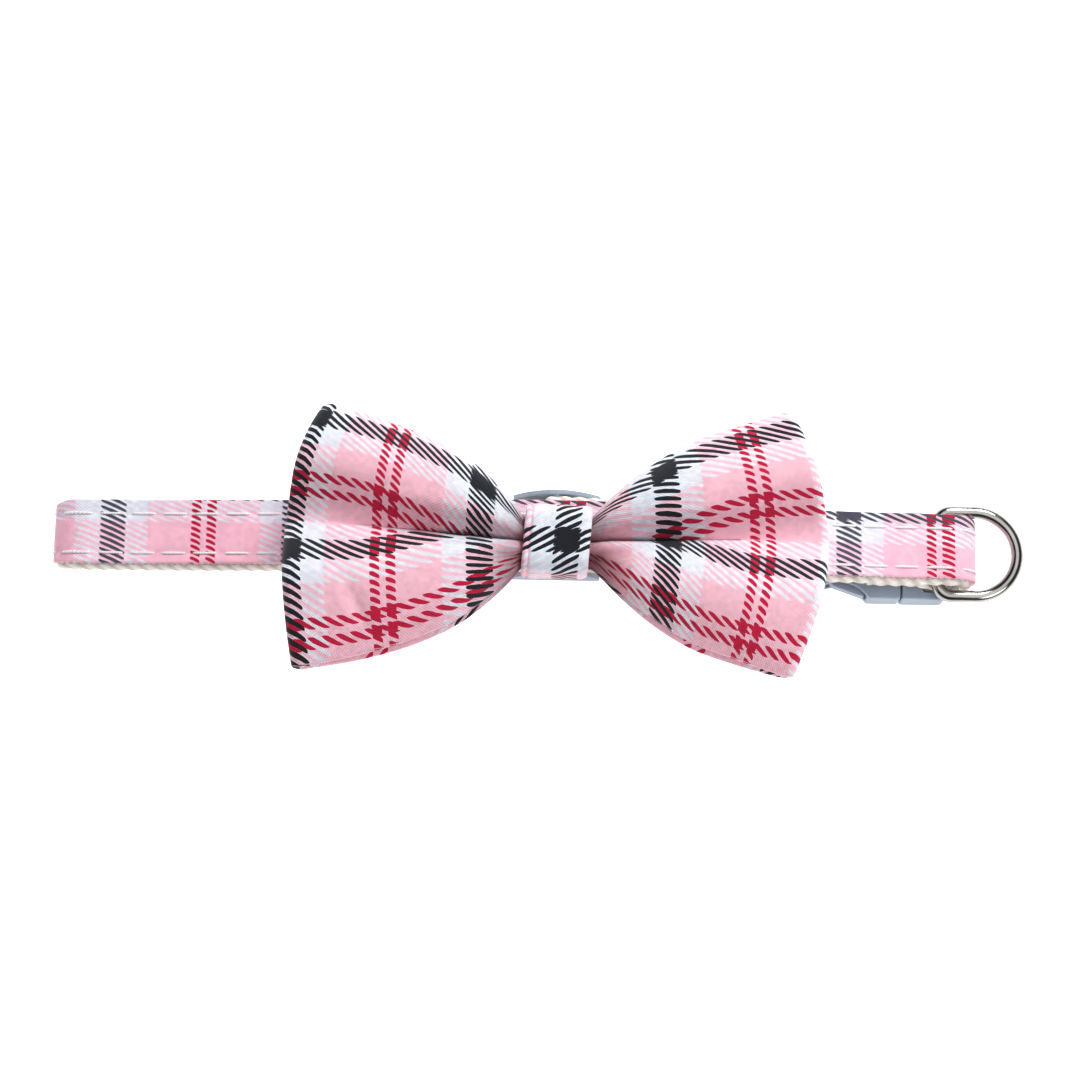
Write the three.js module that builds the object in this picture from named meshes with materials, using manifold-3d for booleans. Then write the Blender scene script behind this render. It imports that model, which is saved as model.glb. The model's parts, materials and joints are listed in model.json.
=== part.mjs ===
// A narrow pet collar with a bow, buckled and lying pressed flat on a table (millimetres, +Z up).
// X runs along the strap, Y across it and Z up from the table. X is 0 at the bow's middle while the
// pieces are made, and the last lines put the origin at the middle of the footprint.

import * as THREE from 'three';
import { mergeVertices } from 'three/addons/utils/BufferGeometryUtils.js';
import Module from 'manifold-3d';

// Strap plies
const STRAP_WIDTH = 10;
const WEBBING_THICKNESS = 1.2;
const FABRIC_WIDTH = 9.2;
const FABRIC_THICKNESS = 1;
const KEEPER_THICKNESS = 1;
const PLY_GAP = 0.15;

// The pressed loop: outer faces of its ends and heights of its outer face
const LOOP_LEFT = -71.6;
const LOOP_RIGHT = 59.8;
const CROWN_HEIGHT = 14.6;
const LEFT_END_HEIGHT = 10;
const HARDWARE_LIFT = 0.15;

// How far the back run lies to the side of the front run, along X
const BACK_DRIFT = [
  { x: -66.9, drift: 1.5 },
  { x: -38, drift: 1.95 },
  { x: 0, drift: 2.5 },
  { x: 31.5, drift: 0 },
];

// Wire ring for a lead, hinged in the strap and standing out nearly level
const RING_BAR_X = 54.2;
const RING_BAR_HEIGHT = 6.35;
const RING_WIRE_RADIUS = 0.9;
const RING_EYE_WIDTH = 10.4;
const RING_REACH = 11.4;
const RING_CORNER_RADIUS = 2;
const RING_PLAY = 0.6;

// Strap end folded back inside the right end, under the ring's bar
const KEEPER_TIP_X = 44;
const KEEPER_DIP_START_X = 50.1;
const KEEPER_DIP = { x: 54.6, z: 4.54 };
const KEEPER_END = { x: 55.6, z: 4.25 };

// Length adjuster behind the bow
const BAR_RADIUS = 0.6;
const SLIDER_SIDE_BAR_X = 5.6;
const SLIDER_SIDE_BAR_RADIUS = 0.7;
const SLIDER_RAIL_INNER = 5.4;
const SLIDER_RAIL_OUTER = 6.15;
const SLIDER_TOP = 5.4;
const SLIDER_APPROACH_X = 14;
const TAIL_END_X = 9;

// Side-release buckle, fastened
const BUCKLE_HALF_WIDTH = 6.3;
const BUCKLE_HEIGHT = 5.2;
const BUCKLE_LEFT = 30.6;
const BUCKLE_SEAM = 49.1;
const BUCKLE_RIGHT = 55.5;
const BUCKLE_SEAM_GAP = 0.3;
const BUCKLE_TAIL_HEIGHT = 4.3;
const FEMALE_SLOT_LENGTH = 4.2;
const MALE_SLOT_LENGTH = 3.2;
const BUCKLE_SLOT_HALF_WIDTH = 5.25;
const BUCKLE_BAR_INSET = 0.8;
const BUCKLE_CORNER_RADIUS = 1.6;
const BUCKLE_EDGE = 0.5;
const CAVITY = { left: 37.2, halfWidth: 4.5, low: 1.1, high: 4.1 };
const WINDOW = { left: 38.9, right: 44.5, inner: 4.3, low: 1.2, high: 4 };
const FINGER_RECESS = { x: 40.4, y: 9.2, radius: 5.2 };
const MALE_HEAD_LENGTH = 2;
const PRONG_ROOT = 49.9;
const PRONG = { low: 1.5, high: 3.7 };
const GUIDE = { left: 42, halfWidth: 0.9, low: 1.7, high: 3.5 };
const CUT_MARGIN = 1;
const FABRIC_END_X = 29;
const WRAP_START_DEGREES = 150;

// One spring prong from above: along its outer side to the catch, over the ramp to the tip and back
const PRONG_OUTLINE = [
  { x: PRONG_ROOT, y: 2.7 },
  { x: PRONG_ROOT, y: 4.1 },
  { x: 44.1, y: 4.25 },
  { x: 44.1, y: 5.9 },
  { x: 39.8, y: 4.4 },
  { x: 38.9, y: 3.6 },
  { x: 40.9, y: 2.9 },
];

// Bow: one flat loop of cloth, gathered at the waist, with a pleat along its middle
const BOW_DROP = 2.1;
const BOW_SEAT_GAP = 0.3;
const BOW_WALL = 1;
const WAIST_HALF_LENGTH = 5;
const WING_REACH = 36.1;
const WING_STATIONS = 13;
const STATION_CROWDING = 1.3;
const CROSS_STATIONS = 17;
const FOLD_STEPS = 4;
const PLEAT_HALF = 0.5;

// Corners of each wing lean in towards the waist by this much at the top and the bottom
const WINGS = {
  left: { side: -1, leanTop: 4.6, leanBottom: 1.7, leanCurve: 1.8 },
  right: { side: 1, leanTop: 4.9, leanBottom: 4.9, leanCurve: 1.45 },
};

// Sections of the wings from the waist out: half heights of the left and the right wing, height of
// the lobes over the strap, depth of the pleat, distance between the two sheets, fall of the long edges
const WING_SECTIONS = [
  { out: 0, left: 3, right: 3, crest: 5.7, pleat: 1.2, sheets: 2, fall: 0.6 },
  { out: 2.6, left: 3, right: 3, crest: 5.7, pleat: 1.2, sheets: 2, fall: 0.6 },
  { out: WAIST_HALF_LENGTH, left: 3, right: 3, crest: 5.7, pleat: 1.2, sheets: 2, fall: 0.6 },
  { out: 6.7, left: 5, right: 4.5, crest: 7.3, pleat: 2.4, sheets: 2.6, fall: 1.2 },
  { out: 9, left: 7.3, right: 6.6, crest: 8.6, pleat: 3.4, sheets: 3.4, fall: 2 },
  { out: 13.5, left: 10.8, right: 10, crest: 9.8, pleat: 4.4, sheets: 4.2, fall: 3 },
  { out: 20, left: 13.8, right: 13.5, crest: 10.4, pleat: 5, sheets: 4.6, fall: 3.6 },
  { out: 28, left: 16.2, right: 16, crest: 10.4, pleat: 5.2, sheets: 3.8, fall: 3.6 },
  { out: WING_REACH, left: 18, right: 18, crest: 10, pleat: 5, sheets: 1.9, fall: 3.2 },
];

// Knot: a cloth band round the waist
const KNOT = { halfLength: 4.6, halfHeight: 4.8, rise: 0.2, depth: 7.8, wall: 1.1, corner: 2.6, edge: 0.3 };

// Fineness
const ARC_STEP_DEGREES = 12;
const RUN_STEP = 3.2;
const BEND_STEP = 1.1;
const WIRE_SIDES = 12;
const WIRE_BEND_STEPS = 6;
const ROUND_SIDES = 20;
const CORNER_STEPS = 6;
const EDGE_STEPS = 2;

// Heights of the webbing's middle line, worked out from the plies that lie on each other
const HALF_WEBBING = WEBBING_THICKNESS / 2;
const FABRIC_INNER = HALF_WEBBING + PLY_GAP;
const FABRIC_OUTER = FABRIC_INNER + FABRIC_THICKNESS;
const BAR_WRAP = BAR_RADIUS + PLY_GAP + HALF_WEBBING;
const LOW_RUN = FABRIC_OUTER + HARDWARE_LIFT;
const OVER_SIDE_BAR = FABRIC_OUTER + 2 * SLIDER_SIDE_BAR_RADIUS + PLY_GAP;
const TAIL_STEP = WEBBING_THICKNESS + PLY_GAP;

const maleBar = { x: BUCKLE_RIGHT - BUCKLE_BAR_INSET, z: LOW_RUN + BAR_WRAP };
const femaleBar = { x: BUCKLE_LEFT + BUCKLE_BAR_INSET, z: LOW_RUN + BAR_WRAP };
const middleBar = { x: 0, z: LOW_RUN + TAIL_STEP + BAR_WRAP };

const overLeftBar = { x: -SLIDER_SIDE_BAR_X, z: OVER_SIDE_BAR };
const overRightBar = { x: SLIDER_SIDE_BAR_X, z: OVER_SIDE_BAR };

const rightTop = RING_BAR_HEIGHT + RING_WIRE_RADIUS + RING_PLAY + HALF_WEBBING;
const rightFold = { radius: (rightTop - LOW_RUN) / 2, z: (rightTop + LOW_RUN) / 2 };
rightFold.x = LOOP_RIGHT - FABRIC_OUTER - rightFold.radius;
const leftTop = LEFT_END_HEIGHT - FABRIC_OUTER;
const leftFold = { radius: (leftTop - FABRIC_OUTER) / 2, z: (leftTop + FABRIC_OUTER) / 2 };
leftFold.x = LOOP_LEFT + FABRIC_OUTER + leftFold.radius;
const crown = CROWN_HEIGHT - FABRIC_OUTER;

const materials = {
  cloth: new THREE.MeshStandardMaterial({ color: 0xf0b6c4, roughness: 0.85, metalness: 0 }),
  webbing: new THREE.MeshStandardMaterial({ color: 0xcfc2ae, roughness: 0.8, metalness: 0 }),
  plastic: new THREE.MeshStandardMaterial({ color: 0x7c8b9a, roughness: 0.45, metalness: 0 }),
  nickel: new THREE.MeshStandardMaterial({ color: 0xc9ccd0, roughness: 0.2, metalness: 1 }),
};

const wasm = await Module();
wasm.setup();

// Boolean helpers

function toSolid(geometry) {
  const bare = geometry.clone();
  bare.deleteAttribute('normal');
  bare.deleteAttribute('uv');
  const merged = mergeVertices(bare);
  return new wasm.Manifold(new wasm.Mesh({
    numProp: 3,
    vertProperties: new Float32Array(merged.attributes.position.array),
    triVerts: new Uint32Array(merged.index.array),
  }));
}

function toGeometry(solid) {
  const mesh = solid.getMesh();
  const geometry = new THREE.BufferGeometry();
  geometry.setAttribute('position', new THREE.BufferAttribute(mesh.vertProperties, 3));
  geometry.setIndex(new THREE.BufferAttribute(mesh.triVerts, 1));
  return geometry;
}

// Shape helpers

function smooth(amount) {
  return amount * amount * (3 - 2 * amount);
}

// Skin through equal sections: a closed ring of them, or a run capped at both ends
function loft(sections, isRing) {
  const count = sections[0].length;
  const positions = sections.flat().flatMap((point) => point.toArray());
  const index = [];
  const spans = isRing ? sections.length : sections.length - 1;
  for (let i = 0; i < spans; i += 1) {
    const here = i * count;
    const next = ((i + 1) % sections.length) * count;
    for (let j = 0; j < count; j += 1) {
      const k = (j + 1) % count;
      index.push(here + j, next + j, next + k, here + j, next + k, here + k);
    }
  }
  if (!isRing) {
    const last = (sections.length - 1) * count;
    for (let j = 1; j < count - 1; j += 1) {
      index.push(0, j, j + 1);
      index.push(last, last + j + 1, last + j);
    }
  }
  const geometry = new THREE.BufferGeometry();
  geometry.setAttribute('position', new THREE.Float32BufferAttribute(positions, 3));
  geometry.setIndex(index);
  return geometry;
}

function box(low, high) {
  const size = new THREE.Vector3(...high).sub(new THREE.Vector3(...low));
  const middle = new THREE.Vector3(...high).add(new THREE.Vector3(...low)).multiplyScalar(0.5);
  return new THREE.BoxGeometry(size.x, size.y, size.z).translate(middle.x, middle.y, middle.z);
}

// A round bar across the strap
function crossBar(place, radius, halfLength) {
  return new THREE.CylinderGeometry(radius, radius, 2 * halfLength, ROUND_SIDES)
    .translate(place.x, 0, place.z);
}

function extrudeUp(shape, low, high, edge) {
  return new THREE.ExtrudeGeometry(shape, {
    depth: high - low - 2 * edge,
    bevelEnabled: edge > 0,
    bevelThickness: edge,
    bevelSize: edge,
    bevelOffset: -edge,
    bevelSegments: EDGE_STEPS,
    curveSegments: CORNER_STEPS,
  }).translate(0, 0, low + edge);
}

// An outline drawn in X and Z, extruded across the strap
function extrudeAcross(shape, low, high, edge) {
  return extrudeUp(shape, low, high, edge).rotateX(Math.PI / 2).translate(0, low + high, 0);
}

function roundedRectangle(left, low, right, high, radius) {
  const shape = new THREE.Shape();
  shape.moveTo(left + radius, low);
  shape.lineTo(right - radius, low);
  shape.absarc(right - radius, low + radius, radius, -Math.PI / 2, 0, false);
  shape.lineTo(right, high - radius);
  shape.absarc(right - radius, high - radius, radius, 0, Math.PI / 2, false);
  shape.lineTo(left + radius, high);
  shape.absarc(left + radius, high - radius, radius, Math.PI / 2, Math.PI, false);
  shape.lineTo(left, low + radius);
  shape.absarc(left + radius, low + radius, radius, Math.PI, 1.5 * Math.PI, false);
  return shape;
}

// The strap's route

// Sideways drift of the back run at a place along X
function backDrift(x) {
  const last = BACK_DRIFT.length - 1;
  if (x <= BACK_DRIFT[0].x) return BACK_DRIFT[0].drift;
  if (x >= BACK_DRIFT[last].x) return BACK_DRIFT[last].drift;
  const after = BACK_DRIFT.findIndex((row) => row.x > x);
  const from = BACK_DRIFT[after - 1];
  const to = BACK_DRIFT[after];
  return THREE.MathUtils.lerp(from.drift, to.drift, smooth((x - from.x) / (to.x - from.x)));
}

// Round a bar or a fold; share tells how much of the back run's drift applies at each end
function bend(centre, radius, fromDegrees, toDegrees, fromShare, toShare) {
  const steps = Math.ceil(Math.abs(toDegrees - fromDegrees) / ARC_STEP_DEGREES);
  return Array.from({ length: steps + 1 }, (_, i) => {
    const amount = i / steps;
    const angle = THREE.MathUtils.degToRad(THREE.MathUtils.lerp(fromDegrees, toDegrees, amount));
    const x = centre.x + radius * Math.cos(angle);
    const share = THREE.MathUtils.lerp(fromShare, toShare, smooth(amount));
    return new THREE.Vector3(x, share * backDrift(x), centre.z + radius * Math.sin(angle));
  });
}

// From one height to another, level at both ends
function slope(from, to, step, share) {
  const steps = Math.ceil(Math.abs(to.x - from.x) / step);
  return Array.from({ length: steps + 1 }, (_, i) => {
    const x = THREE.MathUtils.lerp(from.x, to.x, i / steps);
    return new THREE.Vector3(x, share * backDrift(x), THREE.MathUtils.lerp(from.z, to.z, smooth(i / steps)));
  });
}

function joinRoute(...stretches) {
  const points = stretches.flat();
  return points.filter((point, i) => i === 0 || point.distanceTo(points[i - 1]) > PLY_GAP);
}

// A flat band along a route, between two distances out from the route's line
function band(route, inner, outer, low, high) {
  const sections = route.map((point, i) => {
    const before = route[Math.max(i - 1, 0)];
    const after = route[Math.min(i + 1, route.length - 1)];
    const along = new THREE.Vector2(after.x - before.x, after.z - before.z).normalize();
    const corner = (out, y) => new THREE.Vector3(
      point.x + along.y * out,
      point.y + y,
      point.z - along.x * out,
    );
    return [corner(inner, high), corner(outer, high), corner(outer, low), corner(inner, low)];
  });
  return loft(sections, false);
}

const outerRun = joinRoute(
  bend(rightFold, rightFold.radius, -90, 90, 0, 0),
  slope({ x: rightFold.x, z: rightTop }, { x: 0, z: crown }, RUN_STEP, 0),
  slope({ x: 0, z: crown }, { x: leftFold.x, z: leftTop }, RUN_STEP, 0),
  bend(leftFold, leftFold.radius, 90, 270, 0, 1),
  slope({ x: leftFold.x, z: FABRIC_OUTER }, { x: -SLIDER_APPROACH_X, z: FABRIC_OUTER }, RUN_STEP, 1),
  slope({ x: -SLIDER_APPROACH_X, z: FABRIC_OUTER }, overLeftBar, BEND_STEP, 1),
  slope(overLeftBar, { x: 0, z: LOW_RUN }, BEND_STEP, 1),
  slope({ x: 0, z: LOW_RUN }, overRightBar, BEND_STEP, 1),
  slope(overRightBar, { x: SLIDER_APPROACH_X, z: LOW_RUN }, BEND_STEP, 1),
  slope({ x: SLIDER_APPROACH_X, z: LOW_RUN }, { x: FABRIC_END_X, z: LOW_RUN }, RUN_STEP, 1),
);

function makeWebbing() {
  const tailOver = middleBar.z + BAR_WRAP;
  const tailUnder = middleBar.z - BAR_WRAP;
  const tailEnd = OVER_SIDE_BAR + TAIL_STEP;
  const route = joinRoute(
    bend(maleBar, BAR_WRAP, WRAP_START_DEGREES, 270, 0, 0),
    outerRun,
    bend(femaleBar, BAR_WRAP, -90, 90, 0, 0),
    slope({ x: femaleBar.x, z: femaleBar.z + BAR_WRAP }, { x: TAIL_END_X, z: tailOver }, RUN_STEP, 1),
    slope({ x: TAIL_END_X, z: tailOver }, { x: 0, z: tailOver }, RUN_STEP, 1),
    bend(middleBar, BAR_WRAP, 90, 270, 1, 1),
    slope({ x: 0, z: tailUnder }, { x: SLIDER_SIDE_BAR_X, z: tailEnd }, BEND_STEP, 1),
    slope({ x: SLIDER_SIDE_BAR_X, z: tailEnd }, { x: TAIL_END_X, z: tailEnd }, RUN_STEP, 1),
  );
  return band(route, -HALF_WEBBING, HALF_WEBBING, -STRAP_WIDTH / 2, STRAP_WIDTH / 2);
}

function makeStrapFabric() {
  const high = STRAP_WIDTH / 2;
  return band(outerRun, FABRIC_INNER, FABRIC_OUTER, high - FABRIC_WIDTH, high);
}

function makeRingKeeper() {
  const front = slope({ x: 0, z: crown }, { x: rightFold.x, z: rightTop }, BEND_STEP, 0);
  const below = HALF_WEBBING + PLY_GAP + KEEPER_THICKNESS / 2;
  const sewn = front
    .filter((point) => point.x >= KEEPER_TIP_X && point.x <= KEEPER_DIP_START_X)
    .map((point) => new THREE.Vector3(point.x, 0, point.z - below));
  const route = joinRoute(
    sewn,
    slope(sewn.at(-1), KEEPER_DIP, BEND_STEP / 2, 0),
    slope(KEEPER_DIP, KEEPER_END, BEND_STEP / 2, 0),
  );
  return band(route, -KEEPER_THICKNESS / 2, KEEPER_THICKNESS / 2, -STRAP_WIDTH / 2, STRAP_WIDTH / 2);
}

// Wire ring, drawn with its straight bar on Y and its bow towards +X

function makeRing() {
  const half = RING_EYE_WIDTH / 2 + RING_WIRE_RADIUS;
  const corner = RING_CORNER_RADIUS;
  const outline = new THREE.Path();
  outline.moveTo(0, corner - half);
  outline.lineTo(0, half - corner);
  outline.absarc(corner, half - corner, corner, Math.PI, Math.PI / 2, true);
  outline.lineTo(RING_REACH - half, half);
  outline.absarc(RING_REACH - half, 0, half, Math.PI / 2, -Math.PI / 2, true);
  outline.lineTo(corner, -half);
  outline.absarc(corner, corner - half, corner, -Math.PI / 2, -Math.PI, true);
  const points = outline.getPoints(WIRE_BEND_STEPS)
    .filter((point, i, all) => point.distanceTo(all.at(i - 1)) > PLY_GAP);
  const sections = points.map((point, i) => {
    const before = points.at(i - 1);
    const after = points[(i + 1) % points.length];
    const along = after.clone().sub(before).normalize();
    return Array.from({ length: WIRE_SIDES }, (_, k) => {
      const angle = (-2 * Math.PI * k) / WIRE_SIDES;
      const out = RING_WIRE_RADIUS * Math.cos(angle);
      return new THREE.Vector3(
        point.x - along.y * out,
        point.y + along.x * out,
        RING_WIRE_RADIUS * Math.sin(angle),
      );
    });
  });
  return loft(sections, true);
}

// Length adjuster: two arched rails, two side bars outside the strap and a middle bar inside it

function makeSlider() {
  const end = SLIDER_SIDE_BAR_X + SLIDER_SIDE_BAR_RADIUS;
  const low = 2 * SLIDER_SIDE_BAR_RADIUS;
  const arch = new THREE.Shape();
  arch.moveTo(-end, 0);
  arch.lineTo(end, 0);
  arch.lineTo(end, low);
  arch.quadraticCurveTo(end / 2, SLIDER_TOP, 0, SLIDER_TOP);
  arch.quadraticCurveTo(-end / 2, SLIDER_TOP, -end, low);
  const barHalf = (SLIDER_RAIL_INNER + SLIDER_RAIL_OUTER) / 2;
  let slider = toSolid(extrudeAcross(arch, SLIDER_RAIL_INNER, SLIDER_RAIL_OUTER, 0))
    .add(toSolid(extrudeAcross(arch, -SLIDER_RAIL_OUTER, -SLIDER_RAIL_INNER, 0)))
    .add(toSolid(crossBar(middleBar, BAR_RADIUS, barHalf)));
  for (const x of [-SLIDER_SIDE_BAR_X, SLIDER_SIDE_BAR_X]) {
    slider = slider.add(toSolid(crossBar({ x, z: SLIDER_SIDE_BAR_RADIUS }, SLIDER_SIDE_BAR_RADIUS, barHalf)));
  }
  return toGeometry(slider);
}

// Buckle halves: each ends in a fork whose bar carries the webbing

function fork(body, bar, slotFrom, slotTo) {
  const slot = box(
    [slotFrom, -BUCKLE_SLOT_HALF_WIDTH, -CUT_MARGIN],
    [slotTo, BUCKLE_SLOT_HALF_WIDTH, BUCKLE_HEIGHT + CUT_MARGIN],
  );
  const barHalf = (BUCKLE_SLOT_HALF_WIDTH + BUCKLE_HALF_WIDTH) / 2;
  return toSolid(body).subtract(toSolid(slot)).add(toSolid(crossBar(bar, BAR_RADIUS, barHalf)));
}

function makeFemale() {
  const outline = roundedRectangle(
    BUCKLE_LEFT, -BUCKLE_HALF_WIDTH,
    BUCKLE_SEAM + BUCKLE_CORNER_RADIUS, BUCKLE_HALF_WIDTH,
    BUCKLE_CORNER_RADIUS,
  );
  const body = extrudeUp(outline, 0, BUCKLE_HEIGHT, BUCKLE_EDGE);
  const cavity = box(
    [CAVITY.left, -CAVITY.halfWidth, CAVITY.low],
    [BUCKLE_SEAM + CUT_MARGIN, CAVITY.halfWidth, CAVITY.high],
  );
  const squareAtSeam = { normal: [-1, 0, 0], distance: -BUCKLE_SEAM };
  let female = fork(body, femaleBar, BUCKLE_LEFT - CUT_MARGIN, BUCKLE_LEFT + FEMALE_SLOT_LENGTH)
    .trimByPlane(squareAtSeam.normal, squareAtSeam.distance)
    .subtract(toSolid(cavity));
  for (const side of [-1, 1]) {
    const recess = new THREE.CylinderGeometry(
      FINGER_RECESS.radius, FINGER_RECESS.radius, 2 * (BUCKLE_HEIGHT + CUT_MARGIN), 2 * ROUND_SIDES,
    ).rotateX(Math.PI / 2).translate(FINGER_RECESS.x, side * FINGER_RECESS.y, 0);
    const near = side * WINDOW.inner;
    const far = side * (BUCKLE_HALF_WIDTH + CUT_MARGIN);
    const window = box(
      [WINDOW.left, Math.min(near, far), WINDOW.low],
      [WINDOW.right, Math.max(near, far), WINDOW.high],
    );
    female = female.subtract(toSolid(recess)).subtract(toSolid(window));
  }
  return toGeometry(female);
}

function makeProng(side) {
  const outline = new THREE.Shape(PRONG_OUTLINE.map((point) => new THREE.Vector2(point.x, side * point.y)));
  return extrudeUp(outline, PRONG.low, PRONG.high, 0);
}

function makeMale() {
  const front = BUCKLE_SEAM + BUCKLE_SEAM_GAP;
  const profile = new THREE.Shape([
    new THREE.Vector2(front, 0),
    new THREE.Vector2(BUCKLE_RIGHT - BUCKLE_EDGE, 0),
    new THREE.Vector2(BUCKLE_RIGHT, BUCKLE_EDGE),
    new THREE.Vector2(BUCKLE_RIGHT, BUCKLE_TAIL_HEIGHT - BUCKLE_EDGE),
    new THREE.Vector2(BUCKLE_RIGHT - BUCKLE_EDGE, BUCKLE_TAIL_HEIGHT),
    new THREE.Vector2(front + MALE_HEAD_LENGTH, BUCKLE_HEIGHT),
    new THREE.Vector2(front, BUCKLE_HEIGHT),
  ]);
  const body = extrudeAcross(profile, -BUCKLE_HALF_WIDTH, BUCKLE_HALF_WIDTH, BUCKLE_EDGE / 2);
  const guide = box([GUIDE.left, -GUIDE.halfWidth, GUIDE.low], [PRONG_ROOT, GUIDE.halfWidth, GUIDE.high]);
  let male = fork(body, maleBar, BUCKLE_RIGHT - MALE_SLOT_LENGTH, BUCKLE_RIGHT + CUT_MARGIN)
    .add(toSolid(guide));
  for (const side of [-1, 1]) {
    male = male.add(toSolid(makeProng(side)));
  }
  return toGeometry(male);
}

// Bow, in its own frame: Z is 0 at the seat on the strap

const sectionValues = Object.keys(WING_SECTIONS[0]).filter((name) => name !== 'out');
const wingSections = new THREE.CubicInterpolant(
  WING_SECTIONS.map((row) => row.out),
  WING_SECTIONS.flatMap((row) => sectionValues.map((name) => row[name])),
  sectionValues.length,
);

function sectionAt(out) {
  const values = wingSections.evaluate(out);
  return Object.fromEntries(sectionValues.map((name, i) => [name, values[i]]));
}

// Height of the front sheet across a section: pleat in the middle, a lobe each side, falling edges
function lobeHeight(section, across) {
  const away = Math.abs(across);
  if (away < PLEAT_HALF) {
    return section.crest - section.pleat * (1 + Math.cos((Math.PI * away) / PLEAT_HALF)) / 2;
  }
  return section.crest - section.fall * ((away - PLEAT_HALF) / (1 - PLEAT_HALF)) ** 2;
}

// Middle of the cloth: turn is 0 on the front sheet, 180 on the back one and between them in the fold
function clothPoint(wing, out, across, turnDegrees) {
  const section = sectionAt(out);
  const turn = THREE.MathUtils.degToRad(turnDegrees);
  const lean = across > 0 ? wing.leanTop : wing.leanBottom;
  const leanIn = lean * (out / WING_REACH) ** 2 * Math.abs(across) ** wing.leanCurve;
  const half = wing.side < 0 ? section.left : section.right;
  const foldRadius = section.sheets / 2;
  return new THREE.Vector3(
    wing.side * (out - leanIn + foldRadius * Math.sin(turn)),
    half * across,
    lobeHeight(section, across) - foldRadius * (1 - Math.cos(turn)),
  );
}

function makeBow() {
  const outward = [0, ...Array.from({ length: WING_STATIONS }, (_, i) => {
    const amount = (i / (WING_STATIONS - 1)) ** STATION_CROWDING;
    return THREE.MathUtils.lerp(WAIST_HALF_LENGTH, WING_REACH, amount);
  })];
  const inward = outward.toReversed();
  const stops = [
    ...inward.map((out) => ({ wing: WINGS.left, out, turn: 0 })),
    ...outward.slice(1).map((out) => ({ wing: WINGS.right, out, turn: 0 })),
    ...foldStops(WINGS.right, 0, 180),
    ...inward.map((out) => ({ wing: WINGS.right, out, turn: 180 })),
    ...outward.slice(1).map((out) => ({ wing: WINGS.left, out, turn: 180 })),
    ...foldStops(WINGS.left, 180, 0),
  ];
  const middle = stops.map((stop) => Array.from({ length: CROSS_STATIONS }, (_, j) => {
    const across = THREE.MathUtils.lerp(-1, 1, j / (CROSS_STATIONS - 1));
    return clothPoint(stop.wing, stop.out, across, stop.turn);
  }));
  const sections = middle.map((row, i) => {
    const before = middle.at(i - 1);
    const after = middle[(i + 1) % middle.length];
    const offset = (j, distance) => {
      const along = after[j].clone().sub(before[j]);
      const across = row[Math.min(j + 1, row.length - 1)].clone().sub(row[Math.max(j - 1, 0)]);
      return along.cross(across).setLength(distance).add(row[j]);
    };
    const front = row.map((_, j) => offset(j, BOW_WALL / 2));
    const back = row.map((_, j) => offset(j, -BOW_WALL / 2));
    return [...front, ...back.toReversed()];
  });
  return loft(sections, true);
}

function foldStops(wing, from, to) {
  return Array.from({ length: FOLD_STEPS - 1 }, (_, i) => ({
    wing,
    out: WING_REACH,
    turn: THREE.MathUtils.lerp(from, to, (i + 1) / FOLD_STEPS),
  }));
}

function makeKnot() {
  const outline = roundedRectangle(-KNOT.halfHeight, 0, KNOT.halfHeight, KNOT.depth, KNOT.corner);
  const inner = KNOT.halfHeight - KNOT.wall;
  outline.holes.push(
    roundedRectangle(-inner, KNOT.wall, inner, KNOT.depth - KNOT.wall, KNOT.corner - KNOT.wall),
  );
  return extrudeUp(outline, -KNOT.halfLength, KNOT.halfLength, KNOT.edge)
    .translate(KNOT.rise, 0, 0)
    .applyMatrix4(new THREE.Matrix4().makeBasis(
      new THREE.Vector3(0, 1, 0),
      new THREE.Vector3(0, 0, 1),
      new THREE.Vector3(1, 0, 0),
    ));
}

// Assembly

function piece(name, geometry, material) {
  const mesh = new THREE.Mesh(geometry, material);
  mesh.name = name;
  return mesh;
}

const strap = new THREE.Group();
strap.add(
  piece('webbing', makeWebbing(), materials.webbing),
  piece('strap_fabric', makeStrapFabric(), materials.cloth),
  piece('ring_keeper', makeRingKeeper(), materials.webbing),
);

const hardware = new THREE.Group();
const ring = piece('d_ring', makeRing(), materials.nickel);
ring.position.set(RING_BAR_X, 0, RING_BAR_HEIGHT);
const slider = piece('slider', makeSlider(), materials.plastic);
slider.position.y = backDrift(0);
hardware.add(
  ring,
  slider,
  piece('buckle_female', makeFemale(), materials.plastic),
  piece('buckle_male', makeMale(), materials.plastic),
);

const bow = new THREE.Group();
bow.position.set(0, -BOW_DROP, CROWN_HEIGHT + BOW_SEAT_GAP);
bow.add(
  piece('bow', makeBow(), materials.cloth),
  piece('bow_knot', makeKnot(), materials.cloth),
);

const collar = new THREE.Group();
collar.add(strap, hardware, bow);

// Origin at the middle of the footprint, on the table
const reach = new THREE.Box3().setFromObject(collar, true);
const footprint = reach.getCenter(new THREE.Vector3()).setZ(reach.min.z);
collar.position.copy(footprint).negate();

export default collar;
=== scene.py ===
# A narrow pet collar with a bow, buckled and lying pressed flat: its looks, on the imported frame.
# Lengths are millimetres in the drawing frame (X is 0 at the bow's middle, Y at the strap's middle,
# Z at the table) until a mesh is made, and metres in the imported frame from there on.

import json
import math
from typing import NamedTuple

import bpy
import numpy as np
from mathutils import Matrix, Vector


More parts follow.
